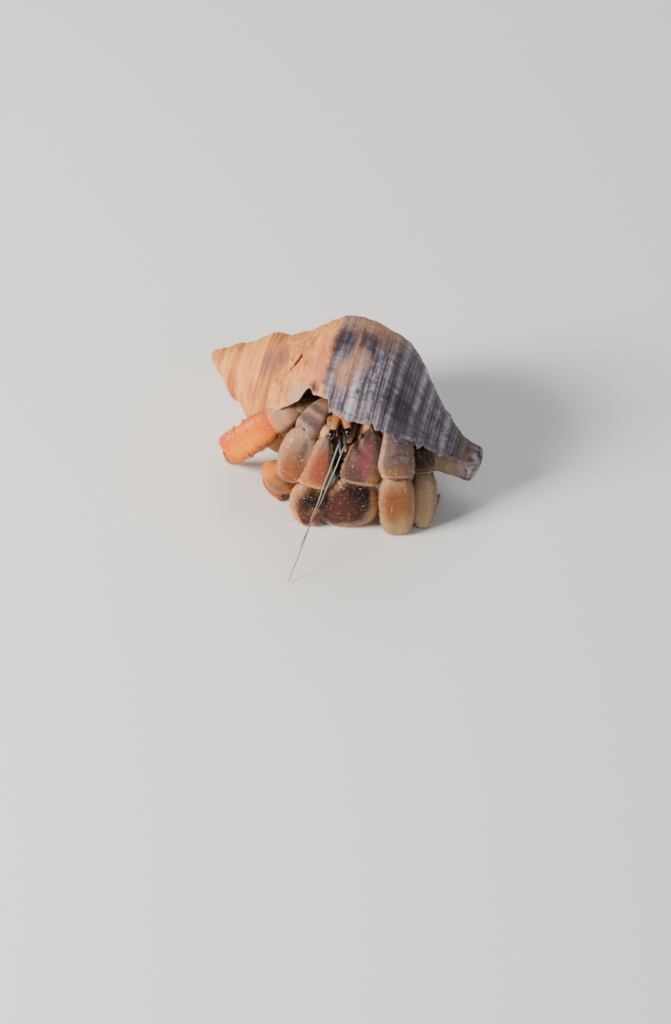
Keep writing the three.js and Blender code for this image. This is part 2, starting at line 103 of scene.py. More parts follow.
def through(values: Triple, share: Array) -> Array:
    """A smooth run through a start, a middle and an end value.

    Args:
        values: Values that the curve goes through, evenly spaced.
        share: Places along it, from 0 to 1.

    Returns:
        The smooth curve's values there.
    """
    start, middle, end = values
    pull = 2.0 * middle - (start + end) / 2.0
    return (1 - share) ** 2 * start + 2 * share * (1 - share) * pull + share**2 * end


def tone(red: int, green: int, blue: int) -> tuple[float, float, float, float]:
    """A colour to be seen as these screen values, from 0 to 255, in the studio's light.

    Args:
        red: Its red, from 0 to 255.
        green: Its green.
        blue: Its blue.

    Returns:
        The colour to set on a shader, with its alpha.
    """
    values = np.array((red, green, blue)) / 255.0
    linear = np.where(values <= 0.04045, values / 12.92, ((values + 0.055) / 1.055) ** 2.4)
    deep = np.clip(LIFT * linear**DEEPEN, 0.0, 1.0)
    return (float(deep[0]), float(deep[1]), float(deep[2]), 1.0)


class Noise:
    """Repeatable unevenness over points, made by mixing whole numbers."""

    PRIMES = (374761393, 668265263, 1442695041, 1274126177)
    MASK = 0xFFFFFF
    WIDE_MASK = 0x7FFFFFFFFFFF

    @classmethod
    def numbers(cls, cells: Array, seed: int) -> Array:
        """One number from 0 to 1 for each whole-number cell.

        Args:
            cells: Whole-number places, one row of three for each.
            seed: Picks one of many different sets of numbers.

        Returns:
            The numbers, one for each cell.
        """
        x_prime, y_prime, z_prime, seed_prime = cls.PRIMES
        mixed = cells[..., 0] * x_prime + cells[..., 1] * y_prime + cells[..., 2] * z_prime
        mixed = mixed + seed * seed_prime
        for shift in (13, 15, 16):
            mixed = (mixed ^ (mixed >> shift)) * seed_prime & cls.WIDE_MASK
        return (mixed & cls.MASK) / float(cls.MASK)

    @classmethod
    def hills(cls, points: Array, size: float, seed: int) -> Array:
        """Smooth hills and hollows from -1 to 1, about one size across.

        Args:
            points: Places in layout millimetres.
            size: Width of one hill.
            seed: Picks one of many patterns.

        Returns:
            Heights from about -1 to 1.
        """
        scaled = points / size
        base = np.floor(scaled).astype(np.int64)
        part = scaled - base
        part = part * part * (3 - 2 * part)
        total = np.zeros(points.shape[:-1])
        for corner in np.ndindex(2, 2, 2):
            step = np.array(corner)
            weight = np.prod(np.where(step == 1, part, 1 - part), axis=-1)
            total += weight * cls.numbers(base + step, seed)
        return 2 * total - 1

    @classmethod
    def layers(cls, points: Array, *layers: tuple[float, float, int]) -> Array:
        """Several sets of hills laid over each other."""
        return sum(height * cls.hills(points, size, seed) for height, size, seed in layers)

    @classmethod
    def grains(cls, points: Array, size: float, seed: int) -> tuple[Array, Array]:
        """The nearest of many scattered grains.

        Args:
            points: Places to ask about.
            size: Usual distance between grains.
            seed: Picks one of many scatterings.

        Returns:
            The distance to the nearest grain as a share of size, and that grain's number.
        """
        scaled = points / size
        base = np.floor(scaled).astype(np.int64)
        nearest = np.full(points.shape[:-1], 9.0)
        owner = np.zeros(points.shape[:-1])
        for step in np.ndindex(3, 3, 3):
            cell = base + np.array(step) - 1
            spot = cell + np.stack([cls.numbers(cell, seed + axis) for axis in range(3)], axis=-1)
            distance = np.linalg.norm(scaled - spot, axis=-1)
            closer = distance < nearest
            nearest = np.where(closer, distance, nearest)
            owner = np.where(closer, cls.numbers(cell, seed + 3), owner)
        return nearest, owner


# ---------------------------------------------------------------- meshes


@dataclass
class Surface:
    """A mesh in layout millimetres: its points, its faces and values carried by its points.

    Attributes:
        points: One row of three for each point.
        quads: Four point numbers for each four-sided face.
        triangles: Three point numbers for each three-sided face.
        values: Numbers or vectors, one for each point, by attribute name.
    """

    points: Array
    quads: Array
    triangles: Array = field(default_factory=lambda: np.zeros((0, 3), np.int64))
    values: dict[str, Array] = field(default_factory=dict)

    @classmethod
    def grid(cls, points: Array, closed: bool = False, keep: Array | None = None) -> "Surface":
        """A sheet of quads over a grid of points.

        Args:
            points: Columns by rows by three.
            closed: Whether the last column joins the first.
            keep: For each face of the grid, whether it is made.

        Returns:
            The sheet, with its points numbered column by column.
        """
        columns, rows = points.shape[:2]
        index = np.arange(columns * rows).reshape(columns, rows)
        here = index if closed else index[:-1]
        there = np.roll(index, -1, axis=0) if closed else index[1:]
        quads = np.stack([here[:, :-1], there[:, :-1], there[:, 1:], here[:, 1:]], axis=-1)
        chosen = quads.reshape(-1, 4) if keep is None else quads[keep]
        return cls(points.reshape(-1, 3), chosen)

    @classmethod
    def tube(cls, rings: Array) -> "Surface":
        """A closed tube over rings of equal length, each end closed by a fan about its middle.

        Args:
            rings: Points ring by ring, each ring's points in order.

        Returns:
            The closed surface, its ends drawn to a point.
        """
        count, sides = rings.shape[:2]
        made = cls.grid(np.swapaxes(rings, 0, 1), closed=True)
        ends = np.stack([rings[0].mean(axis=0), rings[-1].mean(axis=0)])
        first = np.arange(sides) * count
        last = first + count - 1
        hub = sides * count
        near = np.stack([np.full(sides, hub), np.roll(first, -1), first], axis=-1)
        far = np.stack([np.full(sides, hub + 1), last, np.roll(last, -1)], axis=-1)
        made.points = np.concatenate([made.points, ends])
        made.triangles = np.concatenate([near, far])
        return made

    def normals(self) -> Array:
        """The outward direction at each point, averaged over the faces that meet there.

        Returns:
            One unit vector for each point.
        """
        total = np.zeros_like(self.points)
        for faces in (self.quads, self.triangles):
            if len(faces):
                first = self.points[faces[:, 1]] - self.points[faces[:, 0]]
                second = self.points[faces[:, -1]] - self.points[faces[:, 0]]
                facing = np.cross(first, second)
                for corner in range(faces.shape[1]):
                    np.add.at(total, faces[:, corner], facing)
        return unit(total)

    def volume(self) -> float:
        """Signed volume, which is positive when the faces look outwards.

        Returns:
            The volume inside, below zero where the faces look in.
        """
        halves = [self.quads[:, (0, 1, 2)], self.quads[:, (0, 2, 3)], self.triangles]
        faces = np.concatenate(halves)
        first, second, third = (self.points[faces[:, corner]] for corner in range(3))
        return float(np.einsum("ij,ij->", first, np.cross(second, third)) / 6.0)

    def turned_out(self) -> "Surface":
        """The same closed mesh with its faces looking outwards."""
        if self.volume() < 0:
            self.quads = self.quads[:, ::-1]
            self.triangles = self.triangles[:, ::-1]
        return self

    def raised(self, heights: Array) -> "Surface":
        """The same mesh with each point moved along its normal."""
        self.points = self.points + self.normals() * heights[:, None]
        return self

    def trimmed(self) -> "Surface":
        """The same mesh without the points that no face uses.

        Returns:
            This surface, with its points numbered anew.
        """
        used = np.unique(np.concatenate([self.quads.ravel(), self.triangles.ravel()]))
        number = np.full(len(self.points), -1, np.int64)
        number[used] = np.arange(len(used))
        self.points = self.points[used]
        self.quads = number[self.quads]
        self.triangles = number[self.triangles]
        self.values = {name: value[used] for name, value in self.values.items()}
        return self


def joined(parts: Sequence[Surface]) -> Surface:
    """Several meshes as one, with the values that the first of them carries.

    Args:
        parts: The meshes to put together.

    Returns:
        One mesh that holds them all.
    """
    starts = np.cumsum([0] + [len(part.points) for part in parts[:-1]])
    return Surface(
        np.concatenate([part.points for part in parts]),
        np.concatenate([part.quads + start for part, start in zip(parts, starts)]),
        np.concatenate([part.triangles + start for part, start in zip(parts, starts)]),
        {name: np.concatenate([part.values[name] for part in parts]) for name in parts[0].values},
    )


def placed(points: Array) -> Array:
    """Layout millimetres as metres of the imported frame."""
    return (points + LAYOUT_ORIGIN) * MM


def make_object(
    name: str,
    surface: Surface,
    material: bpy.types.Material,
    stands_for: Sequence[str] = (),
) -> bpy.types.Object:
    """Puts a mesh into the scene as one piece of the model.

    Args:
        name: The piece's name.
        surface: Its mesh, in layout millimetres.
        material: Its finish.
        stands_for: The CAD nodes that it is shown in place of.

    Returns:
        The new object, riding on the model's one body.
    """
    mesh = bpy.data.meshes.new(name)
    loops = np.concatenate([surface.quads.ravel(), surface.triangles.ravel()])
    sizes = np.concatenate([np.full(len(surface.quads), 4), np.full(len(surface.triangles), 3)])
    starts = np.concatenate([[0], np.cumsum(sizes)[:-1]])
    mesh.vertices.add(len(surface.points))
    mesh.vertices.foreach_set("co", placed(surface.points).astype(np.float32).ravel())
    mesh.loops.add(len(loops))
    mesh.loops.foreach_set("vertex_index", loops.astype(np.int32))
    mesh.polygons.add(len(sizes))
    mesh.polygons.foreach_set("loop_start", starts.astype(np.int32))
    mesh.polygons.foreach_set("loop_total", sizes.astype(np.int32))
    mesh.update(calc_edges=True)
    mesh.polygons.foreach_set("use_smooth", np.ones(len(sizes), bool))
    for key, value in surface.values.items():
        if key == UNWRAP:
            layer = mesh.uv_layers.new(name=UNWRAP)
            layer.uv.foreach_set("vector", value[loops].astype(np.float32).ravel())
        elif value.ndim == 2:
            layer = mesh.attributes.new(key, "FLOAT_VECTOR", "POINT")
            layer.data.foreach_set("vector", value.astype(np.float32).ravel())
        else:
            layer = mesh.attributes.new(key, "FLOAT", "POINT")
            layer.data.foreach_set("value", value.astype(np.float32))
    mesh.validate()
    mesh.materials.append(material)
    piece = bpy.data.objects.new(name, mesh)
    bpy.context.scene.collection.objects.link(piece)
    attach(piece, "root")
    if stands_for:
        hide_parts(*stands_for)
    faces = len(surface.quads) * 2 + len(surface.triangles)
    LOG.info("%-28s %7d triangles", name, faces)
    return piece


# ---------------------------------------------------------------- shader trees

Feed = bpy.types.NodeSocket | float | tuple


class Wiring:
    """A shader tree that is wired one node at a time."""

    def __init__(self, tree: bpy.types.NodeTree) -> None:
        """Keeps the tree that nodes are added to."""
        self.tree = tree

    def add(self, kind: str, **settings: object) -> bpy.types.Node:
        """A new node of a kind, with its settings.

        Args:
            kind: The node's type without its common first words.
            **settings: Values for the node's own properties.

        Returns:
            The node.
        """
        node = self.tree.nodes.new("ShaderNode" + kind)
        for name, value in settings.items():
            setattr(node, name, value)
        return node

    def feed(self, socket: bpy.types.NodeSocket, value: Feed) -> None:
        """Links a socket to another, or sets its value.

        Args:
            socket: The socket to feed.
            value: Another socket, or the value itself, with a colour as it is seen on a screen.
        """
        if isinstance(value, bpy.types.NodeSocket):
            self.tree.links.new(value, socket)
        else:
            socket.default_value = tone(*value) if socket.type == "RGBA" else value

    def value(self, name: str) -> bpy.types.NodeSocket:
        """A number that the mesh carries at its points."""
        return self.add("Attribute", attribute_name=name).outputs["Fac"]

    def vector(self, name: str) -> bpy.types.NodeSocket:
        """A vector that the mesh carries at its points."""
        return self.add("Attribute", attribute_name=name).outputs["Vector"]

    def place(self) -> bpy.types.NodeSocket:
        """The point's own place, in metres."""
        return self.add("TexCoord").outputs["Object"]

    def scaled(self, vector: Feed, scale: Triple) -> bpy.types.NodeSocket:
        """A vector with each of its sides stretched.

        Args:
            vector: The vector.
            scale: The factor along each axis.

        Returns:
            The scaled vector's socket.
        """
        node = self.add("VectorMath", operation="MULTIPLY")
        self.feed(node.inputs[0], vector)
        node.inputs[1].default_value = scale
        return node.outputs["Vector"]

    def noise(
        self, vector: Feed, scale: Feed, detail: float = 3.0, rough: float = 0.55
    ) -> bpy.types.NodeSocket:
        """Cloudy noise from 0 to 1.

        Args:
            vector: Where it is read.
            scale: How fine it is.
            detail: Number of finer layers.
            rough: Strength of the finer layers.

        Returns:
            The socket of its value, from 0 to 1.
        """
        node = self.add("TexNoise")
        self.feed(node.inputs["Vector"], vector)
        self.feed(node.inputs["Scale"], scale)
        node.inputs["Detail"].default_value = detail
        node.inputs["Roughness"].default_value = rough
        return node.outputs["Fac"]

    def grains(self, vector: Feed, scale: Feed) -> bpy.types.NodeSocket:
        """Distance to the nearest of many scattered points.

        Args:
            vector: Where it is read.
            scale: How fine it is.

        Returns:
            The socket of the distance to the nearest grain.
        """
        node = self.add("TexVoronoi", feature="F1")
        self.feed(node.inputs["Vector"], vector)
        self.feed(node.inputs["Scale"], scale)
        return node.outputs["Distance"]

    def math(self, operation: str, first: Feed, second: Feed = 0.0) -> bpy.types.NodeSocket:
        """One sum on two numbers.

        Args:
            operation: Name of the operation.
            first: Its first number.
            second: Its second number.

        Returns:
            The result's socket.
        """
        node = self.add("Math", operation=operation)
        self.feed(node.inputs[0], first)
        self.feed(node.inputs[1], second)
        return node.outputs["Value"]

    def times(self, first: Feed, second: Feed) -> bpy.types.NodeSocket:
        """Two numbers multiplied."""
        return self.math("MULTIPLY", first, second)

    def plus(self, first: Feed, second: Feed) -> bpy.types.NodeSocket:
        """Two numbers added."""
        return self.math("ADD", first, second)

    def minus(self, first: Feed, second: Feed) -> bpy.types.NodeSocket:
        """The first number less the second."""
        return self.math("SUBTRACT", first, second)

    def away(self, value: Feed, middle: Feed, reach: Feed) -> bpy.types.NodeSocket:
        """How far a value lies from a middle, squared: 1 where it is one reach away."""
        share = self.math("DIVIDE", self.minus(value, middle), reach)
        return self.math("POWER", self.math("ABSOLUTE", share), 2.0)

    def span(
        self, value: Feed, low: Feed, high: Feed, start: Feed = 0.0, end: Feed = 1.0
    ) -> bpy.types.NodeSocket:
        """A smooth step from start to end while the value runs from low to high.

        Args:
            value: The number to map.
            low: Where the ramp starts.
            high: Where it ends.
            start: The result at its start.
            end: The result at its end.

        Returns:
            The result's socket.
        """
        node = self.add("MapRange", interpolation_type="SMOOTHSTEP")
        for socket, given in zip(node.inputs, (value, low, high, start, end)):
            self.feed(socket, given)
        return node.outputs["Result"]

    def blend(self, share: Feed, first: Feed, second: Feed) -> bpy.types.NodeSocket:
        """Two colours mixed by a share.

        Args:
            share: How much of the second shows.
            first: The first colour.
            second: The second colour.

        Returns:
            The mixed colour's socket.
        """
        node = self.add("Mix", data_type="RGBA")
        self.feed(node.inputs["Factor"], share)
        self.feed(node.inputs[6], first)
        self.feed(node.inputs[7], second)
        return node.outputs[2]

    def tint(
        self, colour: Feed, other: Feed, value: Feed, low: Feed, high: Feed, amount: Feed
    ) -> bpy.types.NodeSocket:
        """A colour that turns towards another by an amount, while a value runs from low to high."""
        return self.blend(self.times(self.span(value, low, high), amount), colour, other)

    def dress(self, tree: bpy.types.NodeTree, **values: Feed) -> bpy.types.NodeSocket:
        """The colour that a node group makes of its values."""
        return self.group(tree, **values).outputs["Colour"]

    def group(self, tree: bpy.types.NodeTree, **values: Feed) -> bpy.types.Node:
        """A node group in its place, with its own values.

        Args:
            tree: The group.
            **values: Its inputs, by name.

        Returns:
            The group's node.
        """
        node = self.add("Group")
        node.node_tree = tree
        for name, value in values.items():
            self.feed(node.inputs[name.replace("_", " ").capitalize()], value)
        return node


def sockets(colours: str, numbers: str = "") -> dict[str, str]:
    """Types of a group's sockets by name: the colours first, then the numbers."""
    kinds = {"NodeSocketColor": colours, "NodeSocketFloat": numbers}
    return {name: kind for kind, names in kinds.items() for name in names.split()}


class Group(Wiring):
    """A shader node group with named inputs and outputs."""

    def __init__(self, name: str, inputs: dict[str, str], outputs: dict[str, str]) -> None:
        """Makes the group's tree and sockets.

        Args:
            name: The group's name.
            inputs: Each input's socket type, by name.
            outputs: Each output's socket type, by name.
        """
        super().__init__(bpy.data.node_groups.new(name, "ShaderNodeTree"))
        for direction, kinds in (("INPUT", inputs), ("OUTPUT", outputs)):
            for socket, kind in kinds.items():
                self.tree.interface.new_socket(name=socket, in_out=direction, socket_type=kind)
        inside = self.tree.nodes.new("NodeGroupInput").outputs
        self.given = [inside[socket] for socket in inputs]
        self.outside = self.tree.nodes.new("NodeGroupOutput").inputs

    def give(self, **results: Feed) -> bpy.types.NodeTree:
        """Wires the outputs and returns the finished tree."""
        for name, value in results.items():
            self.feed(self.outside[name.capitalize()], value)
        return self.tree


@lru_cache(maxsize=None)
def mottle_group() -> bpy.types.NodeTree:
    """Cloudy unevenness that lightens and darkens a colour at two scales.

    Returns:
        The group, made once.
    """
    group = Group("Crab mottle", sockets("Colour Warm Cool", "Scale Amount"), sockets("Colour"))
    colour, warm, cool, scale, amount = group.given
    place = group.place()
    broad = group.noise(place, scale, 4.0, 0.6)
    fine = group.noise(place, group.times(scale, 4.3), 3.0, 0.6)
    warmed = group.tint(colour, warm, broad, 0.5, 0.75, amount)
    return group.give(colour=group.tint(warmed, cool, fine, 0.5, 0.28, amount))


@lru_cache(maxsize=None)
def zones_group() -> bpy.types.NodeTree:
    """Three colours in turn along a piece, from its root to its far end.

    Returns:
        The group, made once.
    """
    group = Group("Crab zones", sockets("Root Middle Tip", "First Second"), sockets("Colour"))
    colour, middle, tip, first, second = group.given
    wave = group.times(group.minus(group.noise(group.place(), 420.0), 0.5), 0.35)
    along = group.plus(group.value("along"), wave)
    soft = 0.16
    for edge, other in ((first, middle), (second, tip)):
        step = group.span(along, group.minus(edge, soft), group.plus(edge, soft))
        colour = group.blend(step, colour, other)
    return group.give(colour=colour)


@lru_cache(maxsize=None)
def flank_group() -> bpy.types.NodeTree:
    """A colour that comes in towards one flank of a piece.

    Returns:
        The group, made once.
    """
    group = Group("Crab flank", sockets("Colour Flank", "Start End Amount"), sockets("Colour"))
    colour, flank, start, end, amount = group.given
    wave = group.times(group.minus(group.noise(group.place(), 380.0), 0.5), 0.5)
    across = group.plus(group.value("across"), wave)
    return group.give(colour=group.tint(colour, flank, across, start, end, amount))


@lru_cache(maxsize=None)
def patch_group() -> bpy.types.NodeTree:
    """A soft-edged blotch of colour on the broad side of a piece.

    Returns:
        The group, made once.
    """
    inputs = sockets("Colour Blotch", "Along Across Long Wide Amount")
    group = Group("Crab blotch", inputs, sockets("Colour"))
    colour, blotch, along, across, long, wide, amount = group.given
    away_along = group.away(group.value("along"), along, long)
    away_across = group.away(group.value("across"), across, wide)
    wave = group.times(group.noise(group.place(), 500.0, 5.0, 0.65), 1.6)
    distance = group.plus(group.plus(away_along, away_across), wave)
    facing = group.span(group.value("facing"), -0.45, 0.25)
    share = group.times(group.times(group.span(distance, 2.6, 0.8), facing), amount)
    return group.give(colour=group.blend(share, colour, blotch))


@lru_cache(maxsize=None)
def specks_group() -> bpy.types.NodeTree:
    """Pale tips on the small granules, and pale rims and ridges.

    Returns:
        The group, made once.
    """
    group = Group("Crab specks", sockets("Colour Speck Rim", "Amount Rims"), sockets("Colour"))
    colour, speck, rim, amount, rims = group.given
    tips = group.span(group.value("granule"), 0.25, 0.75)
    some = group.span(group.noise(group.place(), 900.0, 2.0), 0.34, 0.52)
    colour = group.blend(group.times(group.times(tips, some), amount), colour, speck)
    dust = group.times(group.span(group.grains(group.place(), 1900.0), 0.30, 0.10), some)
    colour = group.blend(group.times(group.times(dust, amount), 0.28), colour, speck)
    worn = group.times(group.value("ridge"), group.span(group.noise(group.place(), 500.0), 0.25, 0.55))
    return group.give(colour=group.blend(group.times(worn, rims), colour, rim))


@lru_cache(maxsize=None)
def grain_group() -> bpy.types.NodeTree:
    """Fine roughness of a hard skin: pits, pores and faint lines, as a height from 0 to 1.

    Returns:
        The group, made once.
    """
    group = Group("Crab grain", sockets("", "Scale"), sockets("", "Height Gloss"))
    place = group.place()
    scale = group.given[0]
    pores = group.span(group.grains(place, scale), 0.0, 0.5)
    cloud = group.noise(place, group.times(scale, 0.6), 4.0, 0.65)
    height = group.plus(group.times(pores, 0.6), group.times(cloud, 0.8))
    gloss = group.span(group.noise(place, group.times(scale, 0.25), 3.0), 0.3, 0.7, 0.36, 0.58)
    return group.give(height=height, gloss=gloss)


@dataclass
class Paint:
    """A new material with its Principled shader, ready to be wired.

    Attributes:
        name: The material's name.
        roughness: How dull the surface is, where nothing is wired to it.
        coat: Share of a clear gloss over it.
        shine: Strength of its mirror light.
    """

    name: str
    roughness: float = 0.5
    coat: float = 0.0
    shine: float = 0.22

    def start(self) -> tuple[bpy.types.Material, Wiring, bpy.types.Node]:
        """Makes the material.

        Returns:
            The material, the wiring of its tree and its Principled node.
        """
        material = bpy.data.materials.new(self.name)
        material.use_nodes = True
        wiring = Wiring(material.node_tree)
        shader = material.node_tree.nodes["Principled BSDF"]
        shader.inputs["Roughness"].default_value = self.roughness
        shader.inputs["Coat Weight"].default_value = self.coat
        shader.inputs["Specular IOR Level"].default_value = self.shine
        return material, wiring, shader


def wire_bump(wiring: Wiring, shader: bpy.types.Node, height: Feed, depth: float) -> None:
    """Feeds a shader's normal from a height.

    Args:
        wiring: The material's wiring.
        shader: Its Principled node.
        height: The height, from 0 to 1.
        depth: What a height of 1 stands for, in metres.
    """
    node = wiring.add("Bump")
    node.inputs["Strength"].default_value = 1.0
    node.inputs["Distance"].default_value = depth
    wiring.feed(node.inputs["Height"], height)
    wiring.feed(shader.inputs["Normal"], node.outputs["Normal"])


# ---------------------------------------------------------------- shell


@dataclass(frozen=True)
class Spiral:
    """A logarithmic spiral wound about an axis, as a whorl grows round its own apex.

    Angles are degrees back from the lip. A place across a whorl is s: 0 at the suture, 1 at
    the periphery and 2 at the canal tip.

    Attributes:
        apex: Where the axis starts, in layout millimetres.
        run: The axis, from the apex to the canal tip.
        lip_side, lip_turn: A way square to the axis, and how many degrees on from it the lip stands.
        blunt: How far down the axis the innermost whorl starts.
        growth: How much larger each whorl is than the one before it.
        drawn_at: The angle at which the profile has its own size.
        length: From the apex to the canal tip, along the axis.
        canal_radius: Radius of the canal tip.
        spire_swell, swell_start, swell_end: Share by which the spire is wider, and the angles between
            which that sets in.
        whorls: Number of whorls.
        wall: Thickness of the wall.
        profile: Points that draw the whorl, each as its distance along the axis and its radius.
    """

    apex: Triple = (-23.7, 25.28, 16.46)
    run: Triple = (0.9087, -0.3829, -0.1662)
    lip_side: Triple = (-0.1551, -0.6795, 0.7171)
    lip_turn: float = 2.5
    blunt: float = 1.0
    growth: float = 2.066
    drawn_at: float = 88.0
    length: float = 53.6
    canal_radius: float = 3.2
    spire_swell: float = 0.082
    swell_start: float = 240.0
    swell_end: float = 480.0
    whorls: int = 4
    wall: float = 1.1
    profile: tuple[Pair, Pair, Pair, Pair] = ((12.74, 8.62), (19.27, 11.47), (19.79, 18.35), (29.99, 16.5))

    def axis(self) -> Array:
        """Direction from the apex to the canal tip."""
        return unit(self.run)

    def sides(self) -> tuple[Array, Array]:
        """Two directions square to the axis: towards the lip, and a quarter turn behind it."""
        side = np.array(self.lip_side)
        return side, unit(np.cross(side, self.axis()))

    def size(self, angle: Array) -> Array:
        """Size of the whorl against the drawn profile."""
        fade = np.clip((360.0 * self.whorls - angle) / 180.0, 0.0, 1.0)
        return self.growth ** ((self.drawn_at - angle) / 360.0) * fade

    def section(self, angle: Array, s: Array) -> tuple[Array, Array]:
        """Distance along the axis and radius, at an angle and a place across the whorl.

        Args:
            angle: Degrees back from the lip.
            s: Place across the whorl.

        Returns:
            Both, in millimetres.
        """
        share = np.minimum(s, 1.0)
        rest = 1 - share
        weights = (rest**3, 3 * share * rest**2, 3 * share**2 * rest, share**3)
        curve = sum(weight[..., None] * np.array(point) for weight, point in zip(weights, self.profile))
        drawn = curve * self.size(angle)[..., None]
        turned = np.clip((angle - self.swell_start) / (self.swell_end - self.swell_start), 0.0, 1.0)
        edge = np.hypot(drawn[..., 0], self.blunt)
        height = drawn[..., 1] * (1 + self.spire_swell * turned)
        down = np.clip(s - 1.0, 0.0, 1.0)
        along = np.where(s > 1, mix(edge, self.length, down), edge)
        radius = np.where(s > 1, mix(self.canal_radius, height, (1 + np.cos(np.pi * down)) / 2), height)
        return along, radius

    def place(self, angle: Array, along: Array, radius: Array) -> Array:
        """Places in space.

        Args:
            angle: Degrees back from the lip.
            along: Distance along the axis.
            radius: Distance from the axis.

        Returns:
            Points in layout millimetres.
        """
        turn = np.radians(angle + self.lip_turn)
        side, behind = self.sides()
        radial = side * np.cos(turn)[..., None] + behind * np.sin(turn)[..., None]
        return np.array(self.apex) + self.axis() * along[..., None] + radial * radius[..., None]

    def outer_radius(self, angle: Array, along: Array) -> tuple[Array, Array]:
        """The last whorl's outer radius, and its s, at an angle and a distance along the axis.

        Args:
            angle: Degrees back from the lip.
            along: Distance along the axis.

        Returns:
            The radius, and the place across the whorl.
        """
        low = np.zeros_like(along)
        high = np.full_like(along, 2.0)
        for _ in range(16):
            middle = (low + high) / 2
            short = self.section(angle, middle)[0] < along
            low = np.where(short, middle, low)
            high = np.where(short, high, middle)
        return self.section(angle, low)[1], low

    def kept_inside(self, points: Array, clearance: float) -> Array:
        """Points moved in towards the axis where they would stand in the wall of the last whorl.

        Args:
            points: Places in layout millimetres.
            clearance: Gap left between the points and the wall.

        Returns:
            The places, clear of the wall.
        """
        offset = points - np.array(self.apex)
        along = offset @ self.axis()
        side, behind = self.sides()
        first, second = offset @ side, offset @ behind
        radius = np.hypot(first, second)
        angle = (np.degrees(np.arctan2(second, first)) - self.lip_turn + 60.0) % 360.0 - 60.0
        outer, s = self.outer_radius(angle, along)
        room = outer - self.wall - clearance
        # Only what lies under the last half-turn is moved, clear of the spire and of the canal's tip.
        under = (angle < 190.0) & (angle > -30.0) & (along > 4.0) & (s < 1.98)
        share = np.where(under & (radius > room), room / np.maximum(radius, 1e-6), 1.0)
        radial = side * (first * share)[..., None] + behind * (second * share)[..., None]
        return np.array(self.apex) + self.axis() * along[..., None] + radial


@dataclass(frozen=True)
class Stain:
    """A soft-edged stain on the shell; the pale ones on the ribs' tops are partly painted highlight.

    Attributes:
        colour: Its colour.
        angle, across: Its middle, in the shell's own coordinates.
        turn, wide: Its reach in each of them.
        amount: How much of it covers.
        on_ribs: Whether it shows only on the tops of the ribs.
    """

    colour: Colour
    angle: float
    across: float
    turn: float
    wide: float
    amount: float
    on_ribs: bool = False


LILAC = (150, 122, 124)
BRICK = (186, 98, 62)
ROSE = (206, 142, 122)
INK = (74, 58, 72)
# Pale bluish white of worn rib tops, partly painted highlight.
FROST_AND_HIGHLIGHT = (184, 182, 196)
WORN = (196, 158, 132)

# The pale bluish stains on the ribs are partly worn chalk and partly painted highlight.
STAINS = (
    Stain(LILAC, 372.0, 0.74, 16.0, 0.13, 0.75),
    Stain(LILAC, 24.0, 0.03, 16.0, 0.06, 0.75),
    Stain(BRICK, 668.0, 0.70, 40.0, 0.20, 0.65),
    Stain(BRICK, 334.0, 0.47, 12.0, 0.16, 0.55),
    Stain(ROSE, 18.0, 0.50, 26.0, 0.10, 0.70),
    Stain(WORN, 66.0, 0.88, 24.0, 0.26, 0.80),
    Stain(INK, 37.0, 0.67, 12.0, 0.10, 0.95),
    Stain(INK, 40.0, 0.86, 10.0, 0.12, 0.85),
    Stain(WORN, 30.0, 0.815, 18.0, 0.020, 0.60),
    Stain(INK, 20.0, 1.12, 9.0, 0.08, 0.35),
    Stain(INK, 13.0, 1.24, 9.0, 0.10, 0.40),
    Stain(FROST_AND_HIGHLIGHT, 9.0, 0.88, 15.0, 0.14, 0.90, True),
    Stain(FROST_AND_HIGHLIGHT, 1.0, 1.00, 6.0, 0.20, 0.60, True),
    Stain(FROST_AND_HIGHLIGHT, 40.0, 1.60, 20.0, 0.30, 0.60, True),
    Stain(FROST_AND_HIGHLIGHT, 26.0, 0.99, 16.0, 0.10, 0.75, True),
    Stain(FROST_AND_HIGHLIGHT, 13.0, 1.68, 14.0, 0.16, 0.70, True),
    Stain(WORN, 15.0, 0.78, 9.0, 0.08, 0.75),
    Stain(WORN, 25.0, 0.86, 9.0, 0.07, 0.65),
    Stain((132, 126, 132), 6.0, 1.24, 12.0, 0.22, 0.70, True),
    Stain((150, 124, 112), 44.0, 1.98, 90.0, 0.16, 0.80),
    Stain((176, 166, 150), 320.0, 1.85, 50.0, 0.50, 1.0),
    Stain((104, 84, 76), 312.0, 1.62, 10.0, 0.10, 0.75),
    Stain((190, 166, 164), -5.0, 0.36, 8.0, 0.18, 0.75),
    Stain((104, 60, 70), 3.0, 0.52, 4.6, 0.065, 1.0),
)


@lru_cache(maxsize=None)
def stain_group() -> bpy.types.NodeTree:
    """A stain with a ragged edge, placed by the shell's own coordinates; it also lays the painted highlights
    on the ribs.

    Returns:
        The group, made once.
    """
    inputs = sockets("Colour Stain", "Angle Across Turn Wide Amount")
    group = Group("Shell stain", inputs, sockets("Colour"))
    colour, stain, angle, across, turn, wide, amount = group.given
    away_round = group.away(group.value("angle"), angle, turn)
    away_across = group.away(group.value("across"), across, wide)
    ragged = group.noise(group.scaled(group.vector("lay"), (0.30, 1.3, 1.0)), 1.0, 5.0, 0.7)
    distance = group.plus(group.plus(away_round, away_across), group.times(ragged, 3.4))
    return group.give(colour=group.tint(colour, stain, distance, 3.6, 1.3, amount))


